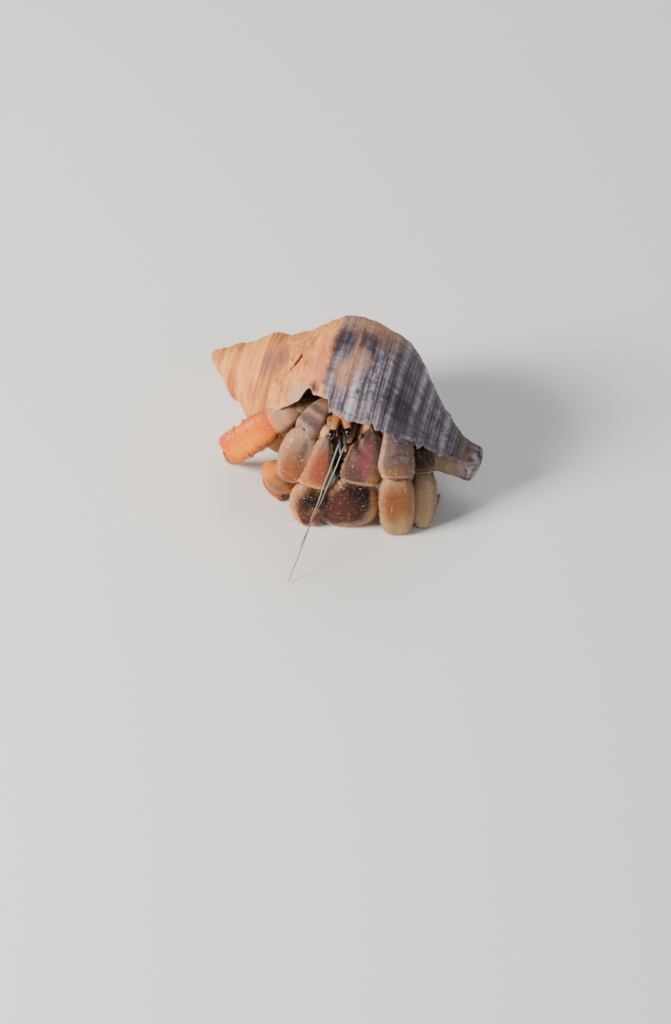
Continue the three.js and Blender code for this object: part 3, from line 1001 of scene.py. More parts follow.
@dataclass(frozen=True)
class ShellFinish:
    """Weathered outside of the shell: chalky tan spire, its warmth partly painted low sunlight, purple-grey
    ribbed body whorl.

    Attributes:
        tan, peach, butter, umber: The worn spire and ramp, their warm colours partly own and partly painted
            low sunlight.
        slate, plum, ash, frost_and_highlight: The body whorl's ground, dark bands, ribs and worn rib tops,
            the pale rib colours partly painted highlight.
        canal: The blunt end of the canal.
        cream, liver: The inside of the mouth and its stains; liver is also the painted shade in the crack.
    """

    tan: Colour = (204, 146, 102)
    peach: Colour = (234, 170, 114)
    butter: Colour = (252, 206, 140)
    umber: Colour = (146, 98, 72)
    slate: Colour = (130, 121, 128)
    plum: Colour = (97, 87, 96)
    ash: Colour = (176, 169, 176)
    frost_and_highlight: Colour = (204, 204, 214)
    canal: Colour = (122, 106, 100)
    cream: Colour = (206, 176, 138)
    liver: Colour = (104, 64, 60)
    ramp_end: float = 0.595
    lip_rise: float = 0.09

    @staticmethod
    def cloud(wiring: Wiring, along: float, across: float, detail: float = 4.0, rough: float = 0.6) -> Feed:
        """Noise laid on the whorl, as fine as told along it and across it."""
        return wiring.noise(wiring.scaled(wiring.vector("lay"), (along, across, 1.0)), 1.0, detail, rough)

    def ramp(self, wiring: Wiring) -> Feed:
        """Colour of the spire and of the ramp below the suture: partly their worn colour, partly painted low
        sunlight.

        Args:
            wiring: The material's wiring.

        Returns:
            The colour's socket.
        """
        broad = self.cloud(wiring, 0.10, 0.28)
        threads = self.cloud(wiring, 0.16, 2.2, 4.0, 0.65)
        lines = self.cloud(wiring, 0.05, 1.1, 3.0, 0.5)
        patches = self.cloud(wiring, 0.42, 0.50, 5.0, 0.65)
        flecks = self.cloud(wiring, 1.7, 1.9, 4.0, 0.7)
        colour = wiring.blend(wiring.span(broad, 0.38, 0.62), self.tan, self.peach)
        for other, where, low, high, amount in (
            (self.butter, threads, 0.50, 0.66, 0.45),
            (self.umber, threads, 0.48, 0.34, 0.38),
            (self.butter, patches, 0.52, 0.68, 0.65),
            (self.umber, patches, 0.46, 0.32, 0.45),
            (self.ash, flecks, 0.60, 0.72, 0.60),
            (LILAC, lines, 0.60, 0.74, 0.40),
        ):
            colour = wiring.tint(colour, other, where, low, high, amount)
        return colour

    def body(self, wiring: Wiring, worn: Feed) -> Feed:
        """Colour of the last whorl below its shoulder.

        Args:
            wiring: The material's wiring.
            worn: Clouds that say where it is worn.

        Returns:
            The colour's socket.
        """
        ribs = wiring.value("rib")
        bands = self.cloud(wiring, 0.30, 0.07)
        growth = self.cloud(wiring, 1.5, 0.12, 4.0, 0.65)
        fleck = self.cloud(wiring, 0.8, 0.8, 4.0, 0.65)
        stripes = self.cloud(wiring, 0.05, 0.9, 3.0, 0.6)
        # Rib crests turn towards ash: partly their worn colour, partly painted highlight.
        colour = wiring.tint(self.slate, self.ash, ribs, 0.10, 0.8, 0.85)
        for where, high, low, amount in (
            (bands, 0.54, 0.40, 0.50), (stripes, 0.50, 0.36, 0.60), (growth, 0.50, 0.38, 0.50)
        ):
            colour = wiring.tint(colour, self.plum, where, high, low, amount)
        # Pale flecks where the ribs cross the growth lines: partly worn chalk, partly painted highlight.
        crossing = wiring.times(wiring.span(growth, 0.50, 0.66), wiring.span(ribs, 0.25, 0.9))
        lit = wiring.times(crossing, wiring.span(fleck, 0.42, 0.56))
        return wiring.tint(wiring.blend(lit, colour, self.frost_and_highlight), WORN, worn, 0.58, 0.72, 0.2)

    def outside(self, wiring: Wiring, clouds: Feed, chalk: Feed) -> Feed:
        """Colour of the whole outside: ramp, body whorl, stains, canal, crack and lip, with painted sunlight
        on the ramp, painted highlights on the ribs and painted shade in the crack.

        Args:
            wiring: The material's wiring.
            clouds: Broad clouds.
            chalk: Fine chalky clouds.

        Returns:
            The colour's socket.
        """
        across, angle = wiring.value("across"), wiring.value("angle")
        near_lip = wiring.span(angle, 9.0, -3.0, 0.0, self.lip_rise)
        wave = wiring.times(wiring.minus(chalk, 0.5), 0.22)
        past = wiring.minus(wiring.plus(across, wave), near_lip)
        # The warm ramp against the grey body below the shoulder is partly own colour and partly painted
        # light: a sunlit ramp and a shaded body whorl.
        below = wiring.span(past, self.ramp_end - 0.05, self.ramp_end + 0.06)
        share = wiring.times(below, wiring.span(angle, 320.0, 230.0))
        colour = wiring.blend(share, self.ramp(wiring), self.body(wiring, clouds))
        tops = wiring.times(wiring.value("rib"), wiring.span(chalk, 0.35, 0.6))
        on_ribs = wiring.span(tops, 0.05, 0.5)
        for stain in STAINS:
            amount = wiring.times(on_ribs, stain.amount) if stain.on_ribs else stain.amount
            colour = wiring.dress(
                stain_group(), colour=colour, stain=stain.colour, angle=stain.angle, across=stain.across,
                turn=stain.turn, wide=stain.wide, amount=amount,
            )
        streaks = wiring.noise(wiring.place(), 700.0, 4.0, 0.65)
        canal = wiring.blend(wiring.span(streaks, 0.40, 0.62), self.canal, self.ash)
        canal = wiring.blend(wiring.span(streaks, 0.50, 0.32), canal, self.plum)
        colour = wiring.blend(wiring.span(across, 1.90, 1.99, 0.0, 0.9), colour, canal)
        # Painted shade darkens the crack's groove towards liver.
        colour = wiring.blend(wiring.span(wiring.value("crack"), 0.2, 0.7, 0.0, 0.9), colour, self.liver)
        return wiring.tint(colour, self.ash, wiring.value("edge"), 0.5, 0.05, 0.35)

    def material(self) -> bpy.types.Material:
        """The finish as a material.

        Returns:
            A material that reads the shell's own coordinates from its points.
        """
        material, wiring, shader = Paint("shell worn", 0.6).start()
        clouds = wiring.noise(wiring.vector("lay"), 0.16, 4.0, 0.6)
        chalk = wiring.noise(wiring.vector("lay"), 1.1, 5.0, 0.65)
        lining = wiring.blend(wiring.span(clouds, 0.4, 0.65), self.cream, self.liver)
        lining = wiring.tint(lining, self.ash, wiring.value("edge"), 3.2, 0.6, 0.8)
        colour = wiring.blend(wiring.value("inside"), self.outside(wiring, clouds, chalk), lining)
        wiring.feed(shader.inputs["Base Color"], colour)
        wiring.feed(shader.inputs["Roughness"], wiring.span(chalk, 0.3, 0.7, 0.5, 0.8))
        fine = self.cloud(wiring, 0.35, 4.5, 3.0, 0.6)
        lines = self.cloud(wiring, 4.2, 0.30, 3.0, 0.6)
        height = wiring.plus(wiring.plus(fine, lines), wiring.times(chalk, 0.7))
        wire_bump(wiring, shader, height, 0.00020)
        return material


@dataclass(frozen=True)
class Shell:
    """The borrowed shell, from its apex to the scalloped edge of its mouth.

    Attributes:
        spiral, finish: Its shape and its finish.
        edge_wall: Thickness of its wall at the lip.
        spire_end: Lowest place across the whorl that is in view on the older whorls.
        tip_cap: Length of the cap on the canal's tip.
        rows, cap_rows: Rows across the whorl and over the cap.
        tuck: How deep the wall's edge at the suture is sunk.
        inner_columns, rim_columns, lip_columns: Columns inside the mouth, round the lip and behind it.
        body_columns, spire_columns: Columns of the last whorl and of the older ones.
        mouth_back, lip_blend: Degrees at which the inside ends and at which the lip's shape does.
        hidden_turn, apex_turn: Degrees past which less of the whorl is in view, and where it ends.
        bud_place, bud_length, bud_radius: Place and sizes of the first whorl's dome.
        rib_height, scallop: Height of the ribs and depth of the lip's scallops.
        marks: Points and notches of the lip, each as degrees past it, place across and reach.
        radian, span: Millimetres on the skin for one radian of turn and for one step across.
    """

    spiral: Spiral = Spiral()
    finish: ShellFinish = ShellFinish()
    edge_wall: float = 0.6
    spire_end: float = 0.90
    tip_cap: float = 1.2
    rows: int = 290
    cap_rows: int = 8
    tuck: float = 0.6
    inner_columns: int = 46
    rim_columns: int = 8
    lip_columns: int = 36
    body_columns: int = 330
    spire_columns: int = 300
    mouth_back: float = 190.0
    hidden_turn: float = 560.0
    apex_turn: float = 1405.0
    bud_place: float = 2.3
    bud_length: float = 1.2
    bud_radius: float = 1.42
    lip_blend: float = 12.0
    rib_height: float = 0.32
    scallop: float = 0.34
    marks: tuple[Triple, ...] = (
        (-2.0, 0.47, 0.04), (2.2, 0.74, 0.018), (1.3, 0.90, 0.04), (-1.2, 1.03, 0.03),
        (0.8, 1.27, 0.05), (-1.0, 1.38, 0.03), (1.2, 1.62, 0.03),
    )
    radian: float = 15.0
    span: float = 20.0

    def cords(self, s: Array) -> Array:
        """Running number of the spiral cord at a place across the whorl."""
        shoulder = self.finish.ramp_end
        return np.where(s < 1, (s - shoulder) / (1 - shoulder) * 4.2, 4.2 + (s - 1) * 10.0)

    def reach(self, s: Array) -> Array:
        """How far the lip runs on past the mouth, in degrees: long at the suture and the tip.

        Args:
            s: Place across the whorl.

        Returns:
            Degrees past the mouth.
        """
        to_suture = 27.0 * np.maximum(0.0, 1 - s / 0.45) ** 1.3
        to_tip = 5.0 * np.maximum(0.0, s - 1.5) / 0.5
        arch = -5.0 * ease(0.36, 0.43, s) * (1 - ease(0.70, 0.75, s))
        marks = sum(degrees * bump(place, reach, s) for degrees, place, reach in self.marks)
        number = self.cords(s)
        uneven = 0.55 + 0.45 * np.sin(2.9 * np.floor(number + 0.5))
        teeth = uneven * (2 * bump(0.0, 0.3, number - np.floor(number + 0.5)) - 1) * ease(0.80, 0.95, s)
        chips = 0.7 * Noise.hills(np.stack([s * self.span, s * 0.0, s * 0.0], axis=-1), 0.9, 5)
        _, radius = self.spiral.section(np.zeros_like(s), s)
        even = 5.0 + to_suture + to_tip + arch + marks + chips
        return even + np.degrees(self.scallop / radius) * teeth * (1 + 0.6 * ease(1.1, 1.4, s))

    def wear(self, angle: Array, s: Array, places: Array) -> Array:
        """Share of the ribs that wear has left, from 0 to 1.

        Args:
            angle: Degrees back from the lip.
            s: Place across the whorl.
            places: Places in layout millimetres.

        Returns:
            The share.
        """
        patches = ease(-0.55, 0.15, Noise.hills(places, 6.5, 21))
        top = 1 - 0.6 * bump(62.0, 24.0, angle) * (1 - ease(1.2, 1.5, s))
        return mix(0.35, 1.0, patches) * top * (1 - 0.6 * ease(1.65, 2.0, s))

    def ribs(self, angle: Array, s: Array) -> Array:
        """Height of the spiral cords from 0 to 1.

        Args:
            angle: Degrees back from the lip.
            s: Place across the whorl.

        Returns:
            The height.
        """
        number = self.cords(s)
        pitch = number - np.floor(number + 0.5)
        strength = 0.65 + 0.35 * np.sin(2.4 * np.floor(number + 0.5) + 0.6)
        strong = strength * bump(0.0, 0.24, pitch)
        weak = 0.45 * (0.5 + 0.5 * np.cos(6 * np.pi * number)) ** 2
        edge = self.finish.ramp_end - 0.0007 * np.clip(angle, 0, 80)
        return np.maximum(strong, weak) * ease(edge - 0.03, edge + 0.10, s)

    def growth(self, length: Array, s: Array) -> Array:
        """Fine growth lines that cross the cords, from -1 to 1."""
        laid = np.stack([length, s * 3.0, np.zeros_like(s)], axis=-1)
        return Noise.layers(laid, (0.6, 0.8, 31), (0.4, 2.1, 32))

    def relief(self, angle: Array, s: Array, places: Array, length: Array) -> Array:
        """How far the outside stands off the smooth spiral, in millimetres.

        Args:
            angle: Degrees back from the lip.
            s: Place across the whorl.
            places: Places in layout millimetres.
            length: Distance along the whorl, in millimetres.

        Returns:
            The height in millimetres.
        """
        size = self.spiral.size(angle)
        covered = ease(338.0, 352.0, angle) * ease(0.84, 0.90, s)
        growth = self.growth(length, s)
        below = ease(0.52, 0.70, s)
        ribs = self.ribs(angle, s) * self.rib_height * self.wear(angle, s, places) * (1 + 0.35 * growth)
        fold = np.stack([length * 0.2, s * self.span * np.sqrt(size), np.zeros_like(s)], axis=-1)
        threads = Noise.layers(fold, (0.11, 0.55, 33), (0.14, 1.6, 34)) * (1 - 0.7 * below)
        worn = Noise.layers(places, (0.26, 5.0, 11), (0.13, 2.1, 12))
        rough = 0.09 * Noise.hills(places, 0.9, 13)
        scars = 0.09 * bump(0.0, 0.22, (length / 9.3 + 0.3 * Noise.hills(places, 9.0, 35)) % 1.0 - 0.5)
        pits, number = Noise.grains(places, 2.6, 14)
        bites = -0.30 * ease(0.34, 0.12, pits) * (number > 0.80) * (1 - ease(0.6, 0.8, s))
        swell = Noise.hills(np.stack([angle / 24.0, s * 0.4, s * 0.0], axis=-1), 1.0, 36)
        knobs = 0.45 * bump(0.72, 0.12, s) * swell * ease(60.0, 140.0, angle)
        total = ribs + threads + worn + rough + scars + bites + knobs + 0.09 * growth * below
        return (total * np.minimum(size, 1.0) - self.crack(angle, s)) * (1 - covered)

    @staticmethod
    def crack(angle: Array, s: Array) -> Array:
        """Depth of the old crack that runs along the ramp, in millimetres.

        Args:
            angle: Degrees back from the lip.
            s: Place across the whorl.

        Returns:
            The depth in millimetres.
        """
        bend = np.maximum(angle - 31.5, 0.0)
        line = 0.124 + 0.0049 * (angle - 3.5) + 0.0029 * bend + 0.004 * np.sin(np.radians(angle * 21.0))
        gash = ease(8.0, 13.0, angle) * (1 - ease(26.0, 30.0, angle))
        rough = 0.8 + 0.2 * np.sin(np.radians(angle * 61.0))
        deep = 0.22 + 0.9 * gash * (0.5 + 0.5 * ease(12.0, 24.0, angle)) * rough
        line = line + 0.003 * np.sin(np.radians(angle * 73.0 + 40.0))
        return deep * bump(0.0, 0.011, s - line) * ease(1.0, 6.0, angle) * (1 - ease(50.0, 58.0, angle))

    def layout(self) -> tuple[Array, Array, Array, Array]:
        """The sheet's own grid: angle, place across, share of the tip's cap and depth in the wall.

        Returns:
            The four, with one row for each turn.
        """
        across = np.concatenate([[0.0, 0.0], np.linspace(0.0, 2.0, self.rows)])
        s = np.concatenate([across, np.full(self.cap_rows, 2.0)])
        cap = np.concatenate([np.zeros(len(across)), np.linspace(0.0, 1.0, self.cap_rows + 1)[1:]])
        tuck = np.zeros_like(s)
        tuck[:2] = (self.tuck, self.tuck / 2)
        lip = -self.reach(s)
        wall = self.spiral.wall
        columns, depths = [], []
        for share in np.linspace(1.0, 0.02, self.inner_columns):
            columns.append(mix(lip, self.mouth_back, share**1.4))
            depths.append(np.full_like(s, mix(self.edge_wall, wall, min(1.0, share * 4))))
        for turn in np.linspace(0.0, np.pi, self.rim_columns):
            _, radius = self.spiral.section(lip, s)
            ahead = np.sin(turn) * self.edge_wall / 2
            columns.append(lip - np.degrees(ahead / np.maximum(radius, 1.0)))
            depths.append(np.full_like(s, self.edge_wall * (1 + np.cos(turn)) / 2))
        for share in np.linspace(0.03, 1.0, self.lip_columns):
            columns.append(mix(lip, self.lip_blend, share))
            depths.append(np.zeros_like(s))
        body = np.linspace(self.lip_blend, 360.0, self.body_columns)[1:]
        older = np.linspace(360.0, self.apex_turn, self.spire_columns)[1:]
        for angle in np.concatenate([body, older]):
            columns.append(np.full_like(s, angle))
            depths.append(tuck * np.clip((angle - self.lip_blend) / 20.0, 0.0, 1.0) * (angle < 1000.0))
        angle = np.stack(columns)
        shape = angle.shape
        return angle, np.broadcast_to(s, shape), np.broadcast_to(cap, shape), np.stack(depths)

    def sheet(self) -> Surface:
        """The whole wall: inside, rolled lip, outside and the older whorls.

        Returns:
            One sheet that carries the shell's own coordinates at its points.
        """
        angle, s, cap, depth = self.layout()
        size = self.spiral.size(angle)
        length = np.radians(angle) * self.radian * size
        along, radius = self.spiral.section(angle, s)
        along = along + self.tip_cap * np.sin(cap * np.pi / 2)
        radius = radius * np.cos(cap * np.pi / 2)
        outer = 1 - ease(0.0, self.edge_wall, depth)
        relief = self.relief(angle, s, self.spiral.place(angle, along, radius), length) * outer * (1 - cap)
        shrink = np.minimum(size, 1.0) ** (depth < self.tuck + 0.01)
        places = self.spiral.place(angle, along, np.maximum(radius + relief - depth * shrink, 0.02))

        used = angle[:-1, :-1]
        in_view = (s[:-1, 1:] <= self.spire_end) | (used < self.hidden_turn)
        keep = in_view & ((cap[:-1, 1:] == 0) | (used < 360.0))
        surface = Surface.grid(places, keep=keep)
        lay = np.stack([length, s * self.span * np.sqrt(size), depth], axis=-1)
        covered = ease(342.0, 352.0, angle) * ease(0.86, 0.93, s)
        lining = np.maximum(ease(0.15, 0.45, depth) * (angle < 200), covered)
        edge = np.clip(np.radians(angle + self.reach(s)) * radius, 0.0, 50.0)
        surface.values = {
            "lay": lay.reshape(-1, 3),
            "rib": self.ribs(angle, s).ravel(),
            "crack": (self.crack(angle, s) * (depth < 0.01)).ravel(),
            "across": s.ravel(),
            "angle": angle.ravel(),
            "inside": lining.ravel(),
            "edge": edge.ravel(),
        }
        surface = surface.trimmed()
        middle = surface.points - np.array(self.spiral.apex)
        out = middle - np.outer(middle @ self.spiral.axis(), self.spiral.axis())
        outward = np.einsum("ij,ij->i", surface.normals(), out)
        if np.median(outward[surface.values["inside"] < 0.1]) < 0:
            surface.quads = surface.quads[:, ::-1]
        return surface

    def bud(self) -> Surface:
        """The rounded first whorl that closes the apex.

        Returns:
            A small dome that carries the shell's own coordinates at its points.
        """
        rise, turn = np.meshgrid(np.linspace(0.05, 3.09, 36), np.linspace(0.0, 354.0, 60), indexing="ij")
        along = self.bud_place - self.bud_length * np.cos(rise)
        places = self.spiral.place(turn, along, self.bud_radius * np.sin(rise))
        bumpy = self.bud_radius * np.sin(rise) * (1 + 0.05 * Noise.hills(places, 0.9, 15))
        surface = Surface.tube(self.spiral.place(turn, along, bumpy)).turned_out()
        count = len(surface.points)
        laid = np.stack([np.radians(turn) * 2.0, rise * 2.0, rise * 0.0], axis=-1)
        lay = np.concatenate([np.swapaxes(laid, 0, 1).reshape(-1, 3), np.zeros((2, 3))])
        plain = {"rib": 0.0, "crack": 0.0, "across": 0.3, "angle": 1100.0, "inside": 0.0, "edge": 50.0}
        surface.values = {"lay": lay} | {name: np.full(count, number) for name, number in plain.items()}
        return surface

    def build(self) -> None:
        """Makes the shell and shows it in place of its solid."""
        whole = joined([self.sheet(), self.bud()])
        make_object("shell", whole, self.finish.material(), ("shell",))


# ---------------------------------------------------------------- hard pieces


@dataclass(frozen=True)
class Relief:
    """What stands off a hard piece's smooth shape, in millimetres.

    Attributes:
        granule: Distance between granules.
        stand: Height of a granule.
        cover: Share of places that carry a granule.
        reach: Lowest facing at which granules are found: -1 all round, 1 only in front.
        rim: Height of the collar at the far end.
        keels: Ridges along the piece, each as (degrees round, height, reach in degrees).
        teeth: Number of teeth that the keels are broken into.
        wrinkle: Height of folds across the piece.
        folds: Number of those folds.
        uneven: Height of broad hills.
    """

    granule: float = 0.62
    stand: float = 0.07
    cover: float = 0.5
    reach: float = -0.4
    rim: float = 0.12
    keels: tuple[Triple, ...] = ()
    teeth: float = 9.0
    wrinkle: float = 0.0
    folds: float = 5.0
    uneven: float = 0.10

    def carve(self, shape: "Grid", seed: int) -> tuple[Array, Array, Array]:
        """Heights over a piece's grid.

        Args:
            shape: The piece's smooth grid.
            seed: Picks one of many patterns.

        Returns:
            The height, the granules' share and the ridges' share at each point.
        """
        t, facing = shape.along, shape.facing
        distance, number = Noise.grains(shape.points, self.granule, seed)
        body = ease(0.02, 0.12, t) * (1 - ease(0.96, 0.995, t))
        sides = ease(self.reach - 0.3, self.reach + 0.3, facing)
        present = (number < self.cover) * (0.5 + 0.5 * number / max(self.cover, 0.01))
        dome = np.clip(1 - (distance / 0.36) ** 2, 0.0, 1.0) * present
        granule = dome * sides * body
        collar = bump(0.925, 0.022, t)
        keel = np.zeros_like(t)
        stand = np.zeros_like(t)
        for degrees, height, reach in self.keels:
            away = (shape.round - degrees + 180.0) % 360.0 - 180.0
            broken = 0.72 + 0.28 * np.cos(2 * np.pi * self.teeth * t + seed)
            line = bump(0.0, reach, away) * ease(0.03, 0.2, t) * (1 - ease(0.88, 0.98, t)) * broken
            keel = np.maximum(keel, line)
            stand = stand + height * line
        hills = Noise.layers(shape.points, (1.0, 2.6, seed + 7), (0.4, 1.1, seed + 8))
        fine = 0.02 * Noise.hills(shape.points, 0.35, seed + 9)
        wave = self.folds * t + 0.35 * hills + 0.3 * facing
        fold = self.wrinkle * (np.abs(np.sin(np.pi * wave)) - 0.6)
        groove = -0.7 * self.rim * bump(0.86, 0.02, t)
        height = self.stand * granule + self.rim * collar + groove + stand
        height = height + self.uneven * hills * body + fine + fold
        return height, granule, np.maximum(0.8 * collar, keel)


@dataclass
class Grid:
    """A hard piece's grid of points, rings along by places round.

    Attributes:
        points: Rings by sides by three.
        along: Share of the way from root to far end.
        across: 1 on one flank, -1 on the other.
        facing: 1 on the broad side, -1 behind.
        round: Degrees round from the flank towards the broad side.
        ahead: Direction from root to far end.
    """

    points: Array
    along: Array
    across: Array
    facing: Array
    round: Array
    ahead: Array


@dataclass(frozen=True)
class Plate:
    """One hard piece of the body: a closed rounded tube with a squared section.

    Attributes:
        start, end: Its two ends.
        face: The way its broad side looks.
        width, depth: Full sizes at the start, middle and end.
        blunt: How square each end is.
        bow: How far the middle is moved sideways.
        square: 1 gives an oval section, less a squarer one.
        rings, sides: Fineness of its mesh.
        relief: What stands off it.
        indoors: Whether it lies in the shell and keeps clear of the wall.
    """

    start: Triple
    end: Triple
    face: Triple
    width: Triple
    depth: Triple
    blunt: Pair = (3.0, 3.0)
    bow: Triple = (0.0, 0.0, 0.0)
    square: float = 0.8
    rings: int = 64
    sides: int = 84
    relief: Relief = Relief()
    indoors: bool = False

    def smooth(self) -> Grid:
        """The piece's grid before anything stands off it.

        Returns:
            The grid of its points.
        """
        run = np.array(self.end) - np.array(self.start)
        ahead = unit(run)
        across = unit(np.cross(ahead, self.face))
        out = np.cross(across, ahead)
        turn = np.linspace(0.012, np.pi - 0.012, self.rings)
        blunt = np.where(turn < np.pi / 2, self.blunt[0], self.blunt[1])
        t = (1 - np.sign(np.cos(turn)) * np.abs(np.cos(turn)) ** (2 / blunt)) / 2
        swell = np.abs(np.sin(turn)) ** (2 / blunt)
        around = np.linspace(0.0, 2 * np.pi, self.sides, endpoint=False)
        side = np.sign(np.cos(around)) * np.abs(np.cos(around)) ** self.square
        front = np.sign(np.sin(around)) * np.abs(np.sin(around)) ** self.square
        half_width = (through(self.width, t) / 2 * swell)[:, None, None]
        half_depth = (through(self.depth, t) / 2 * swell)[:, None, None]
        middle = np.array(self.start) + run * t[:, None] + np.array(self.bow) * np.sin(np.pi * t)[:, None]
        points = middle[:, None] + across * half_width * side[:, None] + out * half_depth * front[:, None]
        shape = (self.rings, self.sides)
        values = (t[:, None], side, front, np.degrees(around))
        return Grid(points, *(np.broadcast_to(value, shape) for value in values), ahead)

    @staticmethod
    def listed(values: Array, last: float = 0.0) -> Array:
        """A grid's values in the order of the tube's points, then those of its two end points."""
        return np.append(np.swapaxes(values, 0, 1).ravel(), (0.0, last))

    def shaped(self, seed: int) -> tuple[Surface, Grid]:
        """The finished mesh, and its grid for whatever grows on it.

        Args:
            seed: Picks one of many patterns.

        Returns:
            The mesh with the values that its finish reads, and the grid with its final points.
        """
        grid = self.smooth()
        height, granule, ridge = self.relief.carve(grid, seed)
        surface = Surface.tube(grid.points)
        surface.values = {
            "along": self.listed(grid.along, 1.0),
            "across": self.listed(grid.across),
            "facing": self.listed(grid.facing),
            "granule": self.listed(granule),
            "ridge": self.listed(ridge),
        }
        surface = surface.turned_out().raised(self.listed(height))
        if self.indoors:
            surface.points = Spiral().kept_inside(surface.points, 0.15)
        surface.points[:, 2] = np.maximum(surface.points[:, 2], 0.0)
        count = self.rings * self.sides
        grid.points = np.swapaxes(surface.points[:count].reshape(self.sides, self.rings, 3), 0, 1)
        return surface, grid


@dataclass(frozen=True)
class Blotch:
    """A soft-edged patch of colour on the broad side of a piece."""

    colour: Colour
    along: float
    across: float
    long: float = 0.25
    wide: float = 0.5
    amount: float = 0.8


@dataclass(frozen=True)
class Coat:
    """Finish of one hard piece.

    Attributes:
        root, middle, tip: Its colours along its length.
        turns: Shares of the length at which they change.
        high, low: Colours of the flank where across is 1 and where it is -1.
        flanks: How much of each flank's colour shows.
        brink: Share of the way out to a flank at which its colour starts.
        blotches: Patches on its broad side.
        speck, specks: Colour of the granules' tips and how much of it shows.
        rim, rims: Colour of its rims and ridges and how much of it shows.
        sheen: Share of a clear gloss over it.
        under: Colour of the painted shade on the side turned in to the body.
        warm, cool: Colours of the clouds all over it.
    """

    root: Colour
    middle: Colour
    tip: Colour
    turns: Pair = (0.3, 0.75)
    high: Colour = (0, 0, 0)
    low: Colour = (0, 0, 0)
    flanks: Pair = (0.0, 0.0)
    blotches: tuple[Blotch, ...] = ()
    brink: float = 0.4
    speck: Colour = (236, 214, 180)
    specks: float = 0.55
    rim: Colour = (222, 184, 146)
    rims: float = 0.5
    sheen: float = 0.12
    under: Colour = (84, 58, 48)
    warm: Colour = (184, 146, 116)
    cool: Colour = (84, 64, 58)

    def material(self, name: str) -> bpy.types.Material:
        """The finish as a material.

        Args:
            name: The material's name.

        Returns:
            A material that reads a piece's own coordinates from its points.
        """
        material, wiring, shader = Paint(name, coat=self.sheen).start()
        first, second = self.turns
        colour = wiring.dress(
            zones_group(), root=self.root, middle=self.middle, tip=self.tip, first=first, second=second
        )
        sides = ((self.high, self.brink, 1.0, self.flanks[0]), (self.low, -self.brink, -1.0, self.flanks[1]))
        for flank, start, end, amount in sides:
            if amount > 0:
                colour = wiring.dress(
                    flank_group(), colour=colour, flank=flank, start=start, end=end, amount=amount
                )
        for blotch in self.blotches:
            colour = wiring.dress(
                patch_group(), colour=colour, blotch=blotch.colour, along=blotch.along, across=blotch.across,
                long=blotch.long, wide=blotch.wide, amount=blotch.amount,
            )
        # Painted shade: the flanks and back of every piece are darkened towards the under colour.
        turned = wiring.span(wiring.value("facing"), 0.10, -0.50, 0.0, 0.75)
        colour = wiring.blend(turned, colour, self.under)
        colour = wiring.dress(
            mottle_group(), colour=colour, scale=520.0, amount=0.3, warm=self.warm, cool=self.cool
        )
        colour = wiring.dress(
            specks_group(), colour=colour, speck=self.speck, amount=self.specks, rim=self.rim, rims=self.rims
        )
        wiring.feed(shader.inputs["Base Color"], colour)
        grain = wiring.group(grain_group(), scale=3200.0)
        wiring.feed(shader.inputs["Roughness"], grain.outputs["Gloss"])
        wire_bump(wiring, shader, grain.outputs["Height"], 0.00006)
        return material


# ---------------------------------------------------------------- bristles


